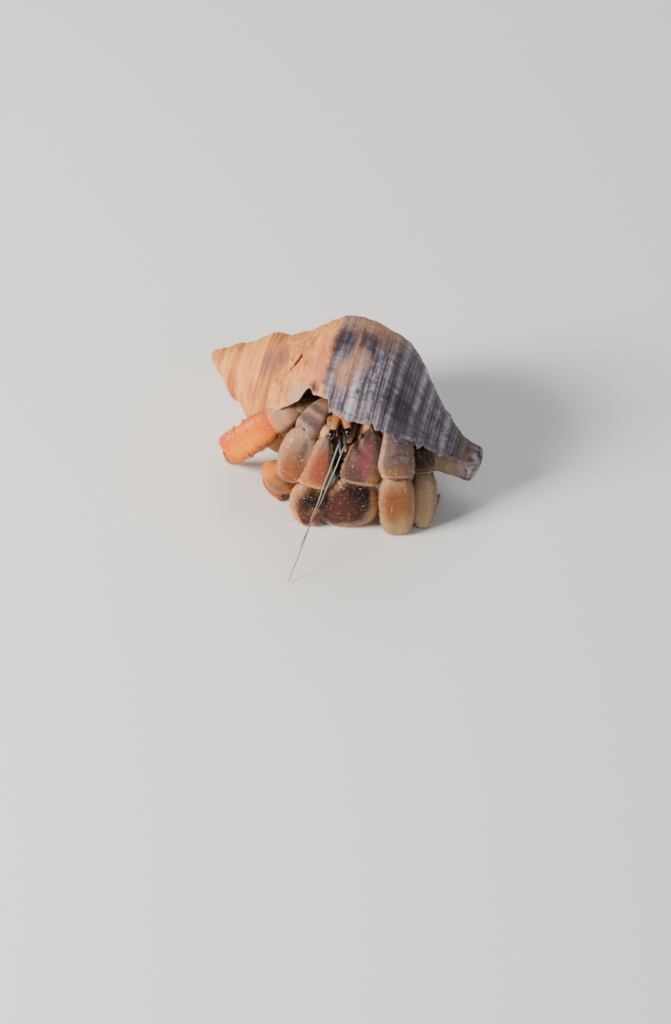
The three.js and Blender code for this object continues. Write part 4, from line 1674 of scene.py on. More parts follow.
@dataclass
class Bristles:
    """Short stiff hairs of one limb, as one mesh of thin three-sided spikes.

    Attributes:
        name: Name of the piece.
        slot: Its material slot; not used.
        colour, root: Colours of the hairs and of their roots.
        parts: The hairs made so far.
        tiles: Pieces that have grown hairs, each with its own place on the map.
    """

    THIRDS = (0.0, 2.0944, 4.18879)

    name: str
    slot: Slot
    colour: Colour = (206, 182, 150)
    root: Colour = (146, 108, 82)
    parts: list[Surface] = field(default_factory=list)
    tiles: int = 0

    @staticmethod
    def chances(grid: Grid, edges: float, tassel: bool) -> Array:
        """How thickly hairs stand at each point of a piece.

        Args:
            grid: The piece's grid.
            edges: Share of the hairs that stand on the flanks and at the far end.
            tassel: Whether they all stand at the far end.

        Returns:
            A weight for each point of the grid, before the skin's area there is counted.
        """
        weight = 0.12 + bump(1.0, 0.35, np.abs(grid.across)) * (grid.facing > -0.7) * edges * 3.0
        weight = weight + bump(0.93, 0.05, grid.along) * edges * 2.0
        weight = weight * ease(-0.85, -0.3, grid.facing) * ease(0.04, 0.2, grid.along) * (grid.along < 0.99)
        return weight * ease(0.70, 0.85, grid.along) if tassel else weight

    @staticmethod
    def faces(count: int) -> tuple[Array, Array]:
        """Faces of spikes that have three rings of three points each.

        Args:
            count: Number of spikes.

        Returns:
            The four-sided faces round them, and the three-sided ones that close their ends.
        """
        start = (np.arange(count) * 9)[:, None, None]
        strip = [[level * 3 + k, level * 3 + (k + 1) % 3, level * 3 + 3 + (k + 1) % 3, level * 3 + 3 + k]
                 for level in range(2) for k in range(3)]
        quads = (np.array(strip)[None] + start).reshape(-1, 4)
        caps = (np.array([[2, 1, 0], [6, 7, 8]])[None] + start).reshape(-1, 3)
        return quads, caps

    def grow(self, grid: Grid, count: int, length: float, edges: float, seed: int, lean: float = 0.7,
             thick: float = 1.0) -> None:
        """Grows hairs on a piece.

        Args:
            grid: The piece's grid.
            count: Number of hairs.
            length: Length of the longest, in millimetres.
            edges: Share of the hairs that stand on the flanks and at the far end.
            seed: Picks one of many scatterings.
            lean: How far the hairs lean towards the piece's far end; past 1 they are a tassel on it.
            thick: Thickness next to that of the finest hairs.
        """
        chance = np.random.default_rng(seed)
        rings, sides = grid.points.shape[:2]
        around = np.roll(grid.points, -1, axis=1) - np.roll(grid.points, 1, axis=1)
        down = np.gradient(grid.points, axis=0)
        facing = np.cross(down, around)
        weight = (self.chances(grid, edges, lean > 1) * np.linalg.norm(facing, axis=-1)).ravel()
        picked = chance.choice(rings * sides, size=count, p=weight / weight.sum())
        middle = grid.points.mean(axis=(0, 1))
        roots = grid.points.reshape(-1, 3)[picked] + chance.normal(0.0, 0.03, (count, 3))
        out = unit(facing.reshape(-1, 3)[picked])
        out = out * np.sign(np.einsum("ij,ij->i", out, roots - middle))[:, None]
        course = unit(out + grid.ahead * lean + chance.normal(0.0, 0.28, (count, 3)))
        reach = length * chance.uniform(0.45, 1.0, count)[:, None]
        side = unit(np.cross(course, chance.normal(0.0, 1.0, (count, 3))))
        other = np.cross(course, side)
        levels = ((0.0, 0.017, -0.06), (0.5, 0.012, 0.0), (1.0, 0.003, 0.0))
        rows = []
        for share, radius, sink in levels:
            spot = roots + course * (reach * share * 0.9 + sink) + grid.ahead * reach * 0.25 * share**2
            for turn in self.THIRDS:
                rows.append(spot + radius * thick * (side * math.cos(turn) + other * math.sin(turn)))
        points = np.stack(rows, axis=1)
        home = np.stack([(picked % sides) / sides, (picked // sides) / rings], axis=-1)
        tile = np.array([self.tiles % 3, self.tiles // 3]) / 3.0
        patch = np.array([[0.001 * (k - 1), 0.0015 * (level - 1)] for level in range(3) for k in range(3)])
        spots = (tile + 0.02 + home * 0.29)[:, None] + patch[None]
        share = np.tile(np.repeat([0.0, 0.5, 1.0], 3), count)
        values = {"hair": share, UNWRAP: spots.reshape(-1, 2)}
        self.parts.append(Surface(points.reshape(-1, 3), *self.faces(count), values))
        self.tiles += 1

    def material(self) -> bpy.types.Material:
        """The hairs' finish, in another colour at their roots.

        Returns:
            The material.
        """
        material, wiring, shader = Paint(self.name, 0.45).start()
        clouds = wiring.noise(wiring.place(), 600.0)
        colour = wiring.blend(wiring.span(wiring.value("hair"), 0.0, 0.55), self.root, self.colour)
        colour = wiring.tint(colour, self.root, clouds, 0.4, 0.7, 0.4)
        wiring.feed(shader.inputs["Base Color"], colour)
        return material

    def build(self) -> None:
        """Makes the hairs as one piece."""
        make_object(self.name, joined(self.parts), self.material())


# ---------------------------------------------------------------- limbs


@dataclass(frozen=True)
class Part:
    """One hard piece of a limb with its finish, and the number, length and spread of its hairs."""

    name: str
    plate: Plate
    coat: Coat
    hairs: int = 0
    hair_length: float = 0.9
    edges: float = 0.7


def spokes(side: Array, other: Array, count: int) -> Array:
    """Directions all round a tube, from one side by way of the other, a quarter turn on."""
    turn = np.linspace(0.0, 2 * np.pi, count, endpoint=False)
    return side * np.cos(turn)[:, None] + other * np.sin(turn)[:, None]


@dataclass(frozen=True)
class Cushion:
    """Soft skin that fills a joint between two hard pieces."""

    middle: Triple
    ahead: Triple
    radius: float
    reach: float

    def mesh(self, seed: int) -> Surface:
        """A short folded tube of skin.

        Args:
            seed: Picks one of many patterns.

        Returns:
            Its closed mesh.
        """
        sides = 36
        ahead = unit(self.ahead)
        side = unit(np.cross(ahead, (0.31, 0.77, 0.55)))
        spread = spokes(side, np.cross(ahead, side), sides)
        along = np.linspace(-1.0, 1.0, 22)
        folds = 1.0 + 0.07 * np.cos(along * 9.0) - 0.25 * np.abs(along) ** 3
        radius = self.radius * folds[:, None]
        centre = np.array(self.middle) + ahead * (along * self.reach)[:, None]
        rings = centre[:, None] + radius[..., None] * spread[None]
        rings = rings + 0.06 * Noise.hills(rings, 0.7, seed)[..., None] * spread
        rings[..., 2] = np.maximum(rings[..., 2], 0.02)
        surface = Surface.tube(rings)
        surface.values = {"along": np.append(np.tile(along, sides) * 0.5 + 0.5, (0.0, 1.0))}
        return surface.turned_out()


@dataclass(frozen=True)
class SkinFinish:
    """Soft skin: pinkish tan with darker folds."""

    pale: Colour = (132, 98, 80)
    deep: Colour = (84, 56, 46)

    def material(self, name: str, scale: float = 700.0) -> bpy.types.Material:
        """The finish as a material.

        Args:
            name: The material's name.
            scale: How fine its folds are.

        Returns:
            The material.
        """
        material, wiring, shader = Paint(name, 0.5).start()
        clouds = wiring.noise(wiring.place(), scale, 4.0, 0.6)
        colour = wiring.blend(wiring.span(clouds, 0.36, 0.64), self.deep, self.pale)
        wiring.feed(shader.inputs["Base Color"], colour)
        wiring.feed(shader.inputs["Roughness"], wiring.span(clouds, 0.3, 0.7, 0.38, 0.6))
        wire_bump(wiring, shader, clouds, 0.00012)
        return material


@dataclass(frozen=True)
class Limb:
    """A walking leg or claw: its hard pieces, the skin between them and its hairs."""

    name: str
    slot: Slot
    parts: tuple[Part, ...]
    seed: int

    def cushions(self) -> Surface:
        """The soft skin at every joint between two pieces of the limb.

        Returns:
            One mesh of all of them.
        """
        made = []
        for index, (near, far) in enumerate(zip(self.parts, self.parts[1:])):
            first, second = np.array(near.plate.end), np.array(far.plate.start)
            ahead = unit(np.array(far.plate.end) - np.array(near.plate.start))
            size = 0.23 * min(near.plate.width[2], far.plate.width[0], near.plate.depth[2] * 1.3)
            middle = tuple((first + second) / 2)
            made.append(Cushion(middle, tuple(ahead), size, 0.8).mesh(self.seed + index))
        return joined(made)

    def build(self) -> None:
        """Makes the limb's pieces and shows each in place of its solid."""
        bristles = Bristles(self.name + "_bristles", self.slot)
        for index, part in enumerate(self.parts):
            node = f"{self.name}_{part.name}"
            surface, grid = part.plate.shaped(self.seed + 10 * index)
            make_object(node, surface, part.coat.material(node), (node,))
            if part.hairs:
                bristles.grow(grid, part.hairs, part.hair_length, part.edges, self.seed + index)
        skin = SkinFinish().material(self.name + " joint skin")
        make_object(self.name + "_joints", self.cushions(), skin)
        bristles.build()


LAP = 0.5  # how far a hard piece runs on past its joints, mm


def stretch(start: Triple, end: Triple, last: bool = False) -> tuple[Triple, Triple]:
    """The two ends of a piece between two joints, run on a little past each.

    Args:
        start: The joint nearer the body.
        end: The joint farther out.
        last: Whether the piece stops at its far joint.

    Returns:
        The piece's two ends.
    """
    ahead = unit(np.array(end) - np.array(start))
    near = np.array(start) - LAP * ahead
    far = np.array(end) + (0.0 if last else LAP) * ahead
    return tuple(near.tolist()), tuple(far.tolist())


UMBER = (104, 74, 58)
DUSK = (138, 112, 110)
SAND = (206, 168, 132)
CREAM = (222, 194, 158)
# A near-black brown for the dark tips and patches, and for painted shade at joints and lower edges.
SOOT_AND_SHADE = (44, 28, 28)
MAROON = (84, 46, 38)
BLUSH = (148, 94, 98)
BONE = (236, 222, 204)

HIDDEN = Coat(UMBER, DUSK, SAND, specks=0.3)
SMALL = Relief(granule=0.5, stand=0.04, cover=0.3, rim=0.08, uneven=0.06)


def inner(name: str, start: Triple, end: Triple, face: Triple, width: Triple, depth: Triple) -> Part:
    """A plain piece of a limb between two joints inside the shell."""
    plate = Plate(*stretch(start, end), face, width, depth, rings=36, sides=44, relief=SMALL, indoors=True)
    return Part(name, plate, HIDDEN)


def claw_left() -> Limb:
    """The large claw.

    Returns:
        The limb, ready to be built.
    """
    carpus = Plate(
        *stretch((6.4, 0.8, 19.9), (4.4, -1.9, 10.2)), (0, -1, 0.3), (2.8, 5.8, 8.0), (3.4, 4.8, 4.8),
        blunt=(2.6, 5.0), square=0.66, rings=100, sides=120,
        relief=Relief(
            granule=0.45, cover=0.45, rim=0.16, keels=((4, 0.34, 10), (176, 0.24, 10)), uneven=0.12
        ),
    )
    palm = Plate(
        *stretch((5.0, -1.9, 10.2), (-2.0, -3.0, 0.4), last=True), (0, -1, 0.15), (6.2, 9.8, 4.2),
        (4.2, 5.4, 2.6), blunt=(3.0, 2.4), bow=(1.2, 0.0, -0.9), rings=140, sides=160,
        relief=Relief(
            granule=0.62, stand=0.13, cover=0.62, rim=0.0, keels=((6, 0.28, 9),), teeth=12, uneven=0.10
        ),
    )
    finger = Plate(
        (0.5, -2.4, 8.3), (-2.8, -2.7, 1.2), (0, -1, 0), (2.2, 2.6, 1.2), (2.6, 3.2, 1.8), blunt=(3.0, 2.2),
        relief=Relief(granule=0.6, stand=0.08, cover=0.4, rim=0.0, keels=((5, 0.12, 16),)),
    )
    return Limb("cheliped_left", Slot.CLAW, (
        inner("ischium", (3.4, 4.4, 18.0), (5.4, 3.8, 18.4), (0, -1, 1), (3.0, 3.4, 3.2), (2.8, 3.0, 2.8)),
        inner("merus", (5.4, 3.8, 18.4), (6.3, 0.8, 19.9), (-1, 0, 1), (3.4, 4.0, 4.2), (3.0, 3.4, 3.4)),
        Part("carpus", carpus, Coat(
            (106, 92, 92), (122, 100, 96), (126, 100, 84), (0.25, 0.8), (132, 108, 94),
            (128, 104, 84), (0.8, 0.6), (
                Blotch(BLUSH, 0.50, -0.02, 0.36, 0.50, 0.85),
                Blotch((166, 128, 92), 0.86, -0.60, 0.14, 0.40, 0.75),
                Blotch((100, 78, 76), 0.80, 0.45, 0.18, 0.45, 0.7),
                Blotch((186, 162, 150), 0.95, 0.0, 0.045, 1.0, 0.7),
            ), 0.55, rim=(196, 170, 146), rims=0.5), 300, 0.7),
        Part("palm", palm, Coat(
            (136, 106, 90), MAROON, (74, 40, 34), (0.06, 0.6), (150, 112, 92), (146, 116, 94), (0.8, 0.9), (
                Blotch((40, 26, 30), 0.20, -0.05, 0.20, 0.60, 1.0),
                Blotch((106, 58, 42), 0.60, 0.30, 0.30, 0.5, 0.7),
                Blotch((172, 142, 118), 0.40, -0.95, 0.50, 0.44, 1.0),
                Blotch((160, 128, 104), 0.84, -0.66, 0.24, 0.44, 0.9),
            ), 0.80, speck=(206, 184, 158), specks=0.85, rim=(206, 180, 150), rims=0.8), 150, 0.6),
        Part("dactyl", finger, Coat(
            MAROON, (104, 66, 52), BONE, (0.55, 0.96), specks=0.8, rim=BONE, rims=0.3), 40, 0.5),
    ), 101)


def claw_right() -> Limb:
    """The small claw.

    Returns:
        The limb, ready to be built.
    """
    carpus = Plate(
        *stretch((-1.5, 0.4, 18.8), (-4.2, -2.0, 9.4)), (0, -1, 0.3), (1.8, 4.4, 6.2), (2.4, 3.8, 3.8),
        blunt=(2.6, 5.0), square=0.66, rings=100, sides=110,
        relief=Relief(
            granule=0.42, cover=0.45, rim=0.20, keels=((4, 0.20, 10), (172, 0.26, 9)), uneven=0.10
        ),
    )
    palm = Plate(
        *stretch((-4.5, -2.0, 9.4), (-5.1, -3.4, -0.2), last=True), (0, -1, 0.15), (5.2, 6.6, 3.8),
        (3.4, 4.0, 2.2), blunt=(3.0, 2.2), rings=120, sides=130,
        relief=Relief(
            granule=0.54, stand=0.10, cover=0.5, rim=0.0, keels=((6, 0.22, 11), (178, 0.16, 10)), teeth=10
        ),
    )
    finger = Plate(
        (-3.2, -3.0, 7.0), (-4.3, -4.0, 0.5), (0, -1, 0), (1.9, 2.2, 1.1), (2.2, 2.6, 1.4), blunt=(3.0, 2.2),
        relief=Relief(granule=0.5, stand=0.08, cover=0.4, rim=0.0),
    )
    return Limb("cheliped_right", Slot.CLAW, (
        inner("ischium", (0.2, 4.4, 18.2), (-1.2, 3.6, 18.6), (0, -1, 1), (2.6, 2.9, 2.6), (2.4, 2.6, 2.4)),
        inner("merus", (-1.2, 3.6, 18.6), (-1.5, 0.4, 18.8), (-1, 0, 1), (2.6, 3.0, 3.0), (2.4, 2.8, 2.8)),
        Part("carpus", carpus, Coat(
            (154, 134, 120), (176, 122, 94), (194, 142, 96), (0.3, 0.82), (190, 146, 110),
            (130, 106, 100), (0.6, 0.95), (
                Blotch((166, 102, 80), 0.60, -0.16, 0.30, 0.55, 1.0),
            ), speck=CREAM, specks=0.5, rim=(214, 188, 140), rims=0.8), 260, 0.7),
        Part("palm", palm, Coat(
            (182, 146, 114), (106, 66, 50), (90, 52, 42), (0.16, 0.7), (190, 150, 116),
            (122, 104, 90), (0.9, 0.95), (
                Blotch(SOOT_AND_SHADE, 0.30, -0.30, 0.30, 0.66, 1.0),
                Blotch((216, 148, 100), 0.82, 0.85, 0.24, 0.28, 0.95),
            ), 0.5, speck=(206, 184, 158), specks=0.8, rim=(216, 168, 138), rims=0.6), 140, 0.6),
        Part("dactyl", finger, Coat(
            (156, 132, 112), (120, 80, 60), (222, 150, 112), (0.4, 0.85), specks=0.6), 60, 0.5),
    ), 202)


def leg_second_left() -> Limb:
    """The second leg on the crab's left.

    Returns:
        The limb, ready to be built.
    """
    carpus = Plate(
        *stretch((10.6, 1.6, 19.2), (10.9, -3.3, 12.2)), (0, -1, 0.4), (4.6, 6.2, 5.8), (3.6, 4.6, 4.4),
        blunt=(3.0, 4.2), square=0.70, rings=90, sides=110,
        relief=Relief(
            granule=0.5, cover=0.42, rim=0.16, keels=((8, 0.16, 12), (174, 0.12, 12)), uneven=0.12
        ),
    )
    propodus = Plate(
        *stretch((10.9, -3.3, 12.2), (11.1, -4.9, -0.1), last=True), (0, -1, 0.1), (5.7, 6.2, 5.0),
        (4.2, 4.6, 3.6), blunt=(3.4, 5.0), square=0.64, rings=110, sides=120,
        relief=Relief(
            granule=0.52, stand=0.08, cover=0.5, rim=0.0, keels=((10, 0.14, 12), (170, 0.14, 12)),
            uneven=0.10
        ),
    )
    return Limb("leg_2_left", Slot.LEG, (
        inner("ischium", (4.6, 4.9, 16.6), (6.2, 4.2, 17.8), (0, -1, 1), (2.8, 3.2, 3.0), (2.6, 2.8, 2.8)),
        inner("merus", (6.2, 4.2, 17.8), (10.6, 1.6, 19.2), (0, -0.4, 1), (3.2, 3.8, 4.2), (2.8, 3.2, 3.4)),
        Part("carpus", carpus, Coat(
            (118, 104, 104), (124, 108, 104), (146, 114, 92), (0.3, 0.78), (192, 158, 138),
            (130, 116, 106), (0.95, 0.8), (
                Blotch((96, 88, 102), 0.40, -0.10, 0.34, 0.50, 0.9),
                Blotch((138, 102, 82), 0.84, 0.05, 0.12, 0.60, 0.75),
            ), 0.55, specks=0.6, rim=(190, 160, 142), rims=0.5), 200, 0.6),
        Part("propodus", propodus, Coat(
            (174, 148, 128), (156, 112, 78), (174, 152, 114), (0.14, 0.60), (182, 146, 116),
            (150, 130, 106), (0.7, 0.7), (
                Blotch((144, 98, 60), 0.42, 0.15, 0.30, 0.75, 0.75),
                # Painted shade at the propodus's root, where it meets the carpus.
                Blotch(SOOT_AND_SHADE, 0.0, -0.3, 0.05, 0.9, 0.7),
            ), 0.5, speck=(214, 190, 160), specks=0.8, rim=(190, 160, 128), rims=0.4), 260, 0.6),
        Part("dactyl", Plate(
            (10.7, -3.6, 1.9), (7.4, 2.6, 0.1), (0, 0, 1), (2.8, 2.4, 0.8), (2.4, 2.0, 0.7),
            blunt=(3.0, 2.0), relief=SMALL,
        ), Coat((176, 96, 62), (186, 104, 64), SOOT_AND_SHADE, (0.4, 0.86)), 160, 0.7),
    ), 303)


def leg_third_left() -> Limb:
    """The third leg on the crab's left.

    Returns:
        The limb, ready to be built.
    """
    carpus = Plate(
        *stretch((15.2, 2.6, 14.7), (15.9, -0.9, 11.0)), (0, -1, 0.6), (3.6, 4.4, 4.2), (3.0, 3.6, 3.4),
        square=0.72, rings=80, sides=90,
        relief=Relief(granule=0.48, cover=0.4, rim=0.12, keels=((8, 0.14, 14),)),
    )
    propodus = Plate(
        *stretch((15.9, -0.9, 11.0), (15.7, -3.8, -0.1), last=True), (0, -1, 0.1), (4.0, 4.6, 3.6),
        (3.2, 3.6, 2.8), blunt=(3.4, 2.8), square=0.74, rings=100, sides=100,
        relief=Relief(granule=0.5, stand=0.07, cover=0.45, rim=0.0, keels=((10, 0.12, 12), (170, 0.12, 12))),
    )
    return Limb("leg_3_left", Slot.LEG, (
        inner("ischium", (4.8, 5.2, 15.2), (7.0, 4.4, 15.4), (0, -1, 1), (2.6, 2.8, 2.6), (2.4, 2.6, 2.4)),
        inner("merus", (7.0, 4.4, 15.4), (15.2, 2.6, 14.7), (0, -0.6, 1), (2.8, 3.2, 3.4), (2.4, 2.8, 2.8)),
        # The carpus's dark browns are painted shade, standing in for the shell's shadow over it.
        Part("carpus", carpus, Coat(
            (76, 62, 56), (86, 70, 62), (110, 90, 76), (0.3, 0.8), (170, 146, 128), UMBER,
            (0.9, 0.6), brink=0.6, rims=0.3), 180, 0.7),
        Part("propodus", propodus, Coat(
            (150, 132, 118), (164, 144, 122), (172, 152, 124), (0.2, 0.7), (166, 146, 128),
            (130, 112, 98), (0.6, 0.8), speck=(214, 192, 166), specks=0.7, rims=0.3), 200, 0.6),
        Part("dactyl", Plate(
            (15.8, -2.6, 1.7), (19.0, 4.4, 0.1), (0, 0, 1), (2.4, 2.0, 0.8), (2.0, 1.8, 0.7),
            blunt=(3.0, 2.0), relief=SMALL,
        ), Coat((176, 112, 72), (190, 122, 74), SOOT_AND_SHADE, (0.4, 0.86)), 160, 0.7),
    ), 404)


def leg_second_right() -> Limb:
    """The second leg on the crab's right.

    Returns:
        The limb, ready to be built.
    """
    merus = Plate(
        *stretch((-1.2, 6.1, 21.7), (-5.9, 1.1, 18.0)), (-0.4, -0.6, 1), (3.0, 4.8, 5.4), (2.8, 3.2, 3.2),
        blunt=(3.0, 2.8), square=0.72, rings=90, sides=90, indoors=True,
        relief=Relief(granule=0.5, stand=0.03, cover=0.3, rim=0.06, keels=((10, 0.10, 14),), uneven=0.05),
    )
    carpus = Plate(
        *stretch((-5.0, 1.9, 19.0), (-8.4, -1.0, 9.6)), (0, -1, 0.3), (4.8, 6.6, 4.2), (3.6, 4.8, 3.6),
        blunt=(2.6, 3.4), square=0.72, rings=110, sides=130,
        relief=Relief(
            granule=0.58, cover=0.48, rim=0.14, keels=((172, 0.28, 9), (12, 0.10, 12)), uneven=0.12
        ),
    )
    propodus = Plate(
        *stretch((-8.4, -1.0, 9.6), (-11.9, 4.6, 4.8)), (-0.7, -0.7, 0), (5.0, 6.2, 5.2), (3.6, 4.2, 3.8),
        square=0.74, rings=90, sides=100,
        relief=Relief(granule=0.52, cover=0.45, rim=0.10, keels=((12, 0.16, 12), (168, 0.16, 12))),
    )
    return Limb("leg_2_right", Slot.LEG, (
        inner("ischium", (0.6, 5.2, 20.0), (-1.2, 6.1, 21.7), (0, -1, 1), (2.6, 3.0, 3.0), (2.6, 2.8, 2.8)),
        Part("merus", merus, Coat(
            (118, 100, 94), (172, 144, 130), (154, 134, 130), (0.25, 0.75), (176, 150, 134),
            (130, 112, 108), (0.5, 0.7), (
                Blotch((100, 84, 94), 0.62, 0.0, 0.12, 1.0, 0.85),
                Blotch((98, 84, 86), 0.34, 0.1, 0.08, 1.0, 0.75),
            ), specks=0.3, rim=(190, 164, 144), rims=0.5), 100, 0.6),
        Part("carpus", carpus, Coat(
            (186, 160, 142), (160, 122, 98), (170, 114, 76), (0.3, 0.70), (188, 146, 112),
            (150, 136, 130), (0.7, 0.85), (
                Blotch((164, 148, 142), 0.24, -0.45, 0.26, 0.34, 0.9),
                Blotch((126, 96, 88), 0.40, -0.15, 0.26, 0.24, 0.75),
                Blotch((158, 100, 64), 0.76, 0.10, 0.20, 0.75, 0.85),
            ), speck=CREAM, specks=0.9, rim=(190, 164, 140), rims=0.6), 240, 0.6),
        Part("propodus", propodus, Coat(
            (140, 100, 60), (168, 112, 14), (194, 126, 8), (0.2, 0.55), (206, 138, 14),
            (172, 110, 26), (0.8, 0.7), (
                Blotch((128, 94, 40), 0.36, -0.35, 0.30, 0.40, 0.8),
                Blotch((218, 140, 6), 0.62, 0.60, 0.34, 0.36, 0.9),
            ), specks=0.2, rim=(210, 136, 44), rims=0.4), 160, 0.6),
        Part("dactyl", Plate(
            *stretch((-11.9, 4.6, 4.8), (-9.7, 2.8, -0.2), last=True), (-0.7, -0.7, 0), (4.2, 3.6, 1.2),
            (3.2, 2.8, 1.0), blunt=(3.0, 2.0), relief=SMALL,
        ), Coat((174, 108, 28), (178, 108, 30), SOOT_AND_SHADE, (0.4, 0.86), rims=0.1), 200, 0.7),
    ), 505)


def leg_third_right() -> Limb:
    """The third leg on the crab's right, reaching out to the side.

    Returns:
        The limb, ready to be built.
    """
    merus = Plate(
        *stretch((-2.8, 8.0, 20.0), (-6.6, 8.2, 18.2)), (0, -1, 1), (3.0, 3.4, 3.6), (2.4, 2.6, 2.8),
        relief=SMALL, indoors=True,
    )
    carpus = Plate(
        *stretch((-6.6, 8.2, 18.2), (-11.2, 7.7, 14.9)), (0, -1, 0.8), (4.0, 5.4, 5.8), (2.8, 3.2, 3.2),
        square=0.7, rings=90, sides=100,
        relief=Relief(granule=0.55, stand=0.04, cover=0.3, rim=0.10, keels=((8, 0.14, 14), (172, 0.12, 14))),
    )
    propodus = Plate(
        *stretch((-11.2, 7.7, 14.9), (-19.4, 7.3, 8.4)), (0, -1, 0.8), (5.8, 6.0, 5.6), (3.0, 3.4, 2.8),
        blunt=(4.0, 6.5), square=0.62, rings=110, sides=120,
        relief=Relief(
            granule=0.52, stand=0.03, cover=0.3, rim=0.0, keels=((10, 0.12, 14), (170, 0.12, 14)),
            uneven=0.04
        ),
    )
    return Limb("leg_3_right", Slot.LEG, (
        inner("ischium", (0.4, 6.2, 19.2), (-2.8, 8.0, 20.0), (0, -1, 1), (2.4, 2.8, 2.8), (2.2, 2.4, 2.6)),
        # Painted shade: the merus's lower flank and lower edge are darkened, as the crease beside the second
        # leg.
        Part("merus", merus, Coat(
            UMBER, (112, 94, 76), (150, 126, 98), (0.3, 0.75), (140, 118, 92), SOOT_AND_SHADE, (0.6, 0.8), (
                Blotch(SOOT_AND_SHADE, 0.5, -0.95, 0.8, 0.36, 0.8),
            ), specks=0.3), 100, 0.6),
        Part("carpus", carpus, Coat(
            (160, 134, 114), (186, 152, 126), (216, 140, 96), (0.3, 0.80), (210, 144, 108),
            (150, 124, 102), (0.5, 0.6), (
                # Painted shade along the carpus's lower edge.
                Blotch((96, 70, 58), 0.40, -0.95, 0.60, 0.34, 0.85),
            ), specks=0.3, rim=(220, 166, 130), rims=0.3), 260, 0.8),
        # The bright orange and its yellow blotch are partly the leg's own colour and partly painted low
        # sunlight.
        Part("propodus", propodus, Coat(
            (216, 132, 70), (240, 138, 26), (232, 120, 20), (0.14, 0.90), (230, 134, 44),
            (252, 146, 12), (0.7, 0.8), (
                Blotch((255, 160, 14), 0.62, -0.20, 0.34, 0.5, 0.9),
                # Painted shade along the propodus's lower edge, near its root.
                Blotch((168, 112, 78), 0.22, -0.95, 0.40, 0.34, 0.75),
            ), speck=(252, 196, 120), specks=0.3, rim=(240, 150, 80), rims=0.3,
            sheen=0.05), 1100, 0.9, 1.0),
        Part("dactyl", Plate(
            *stretch((-19.4, 7.3, 8.4), (-18.4, 13.0, -0.3), last=True), (-1, 0, 0), (3.0, 2.6, 0.9),
            (2.4, 2.2, 0.8), blunt=(3.0, 2.0), relief=SMALL,
        ), Coat((188, 112, 50), (196, 118, 54), SOOT_AND_SHADE, (0.4, 0.88)), 200, 0.7),
    ), 606)


# ---------------------------------------------------------------- head


@dataclass(frozen=True)
class Feeler:
    """A long thin ringed feeler.

    Attributes:
        start, end: Its two ends.
        sag: How far its middle hangs to one side.
        radii: Radius at its root, middle and tip.
        segments: Number of its rings.
    """

    start: Triple
    end: Triple
    sag: Triple
    radii: Triple
    segments: int

    def mesh(self, seed: int) -> Surface:
        """The feeler's closed mesh.

        Args:
            seed: Picks one of many patterns.

        Returns:
            A tapering tube that swells at the end of every segment.
        """
        sides = 12
        t = np.linspace(0.0, 1.0, self.segments * 5 + 1)
        run = np.array(self.end) - np.array(self.start)
        ahead = unit(run)
        side = unit(np.cross(ahead, (0.2, 0.9, 0.3)))
        spread = spokes(side, np.cross(ahead, side), sides)
        laid = np.stack([t * 9.0, t * 0.0 + seed, t * 0.0], axis=-1)
        sway = 0.10 * Noise.hills(laid, 1.0, seed) * np.sin(np.pi * t)
        middle = np.array(self.start) + run * t[:, None] + np.array(self.sag) * np.sin(np.pi * t)[:, None]
        middle = middle + side * sway[:, None]
        swell = 1 + 0.16 * (1 - np.abs(np.sin(np.pi * t * self.segments))) ** 2
        radius = through(self.radii, t) * swell
        rings = middle[:, None] + radius[:, None, None] * spread[None]
        rings[..., 2] = np.maximum(rings[..., 2], 0.0)
        surface = Surface.tube(rings)
        part = (t * self.segments) % 1.0
        band = bump(0.0, 0.22, part) + bump(1.0, 0.22, part)
        surface.values = {
            "along": np.append(np.tile(t, sides), (0.0, 1.0)),
            "band": np.append(np.tile(band, sides), (0.0, 1.0)),
        }
        return surface.turned_out()


@dataclass(frozen=True)
class FeelerFinish:
    """Grey at the root, brown and darkly ringed towards the tip."""

    root: Colour = (172, 174, 172)
    tip: Colour = (150, 104, 76)
    ring: Colour = (96, 78, 70)

    def material(self, name: str) -> bpy.types.Material:
        """The finish as a material.

        Args:
            name: The material's name.

        Returns:
            The material.
        """
        material, wiring, shader = Paint(name, 0.4, 0.15).start()
        colour = wiring.blend(wiring.span(wiring.value("along"), 0.30, 0.75), self.root, self.tip)
        colour = wiring.blend(wiring.times(wiring.value("band"), 0.55), colour, self.ring)
        wiring.feed(shader.inputs["Base Color"], colour)
        return material


@dataclass(frozen=True)
class EyeFinish:
    """Black glossy eye with a faint net of facets and a paler rim."""

    dark: Colour = (22, 16, 18)
    net: Colour = (58, 44, 42)
    rim: Colour = (128, 96, 78)

    def material(self, name: str) -> bpy.types.Material:
        """The finish as a material.

        Args:
            name: The material's name.

        Returns:
            The material.
        """
        material, wiring, shader = Paint(name, 0.12, 1.0).start()
        facets = wiring.grains(wiring.place(), 16000.0)
        colour = wiring.tint(self.dark, self.net, facets, 0.45, 0.7, 0.6)
        colour = wiring.blend(wiring.span(wiring.value("along"), 0.22, 0.06), colour, self.rim)
        wiring.feed(shader.inputs["Base Color"], colour)
        return material


@dataclass(frozen=True)
class Organ:
    """One small hard part of the head with its finish."""

    name: str
    slot: Slot
    plate: Plate
    coat: Coat

    def build(self, seed: int) -> Grid:
        """Makes the part in place of its solid and returns its grid.

        Args:
            seed: Picks one of many patterns.

        Returns:
            Its grid.
        """
        surface, grid = self.plate.shaped(seed)
        make_object(self.name, surface, self.coat.material(self.name), (self.name,))
        return grid


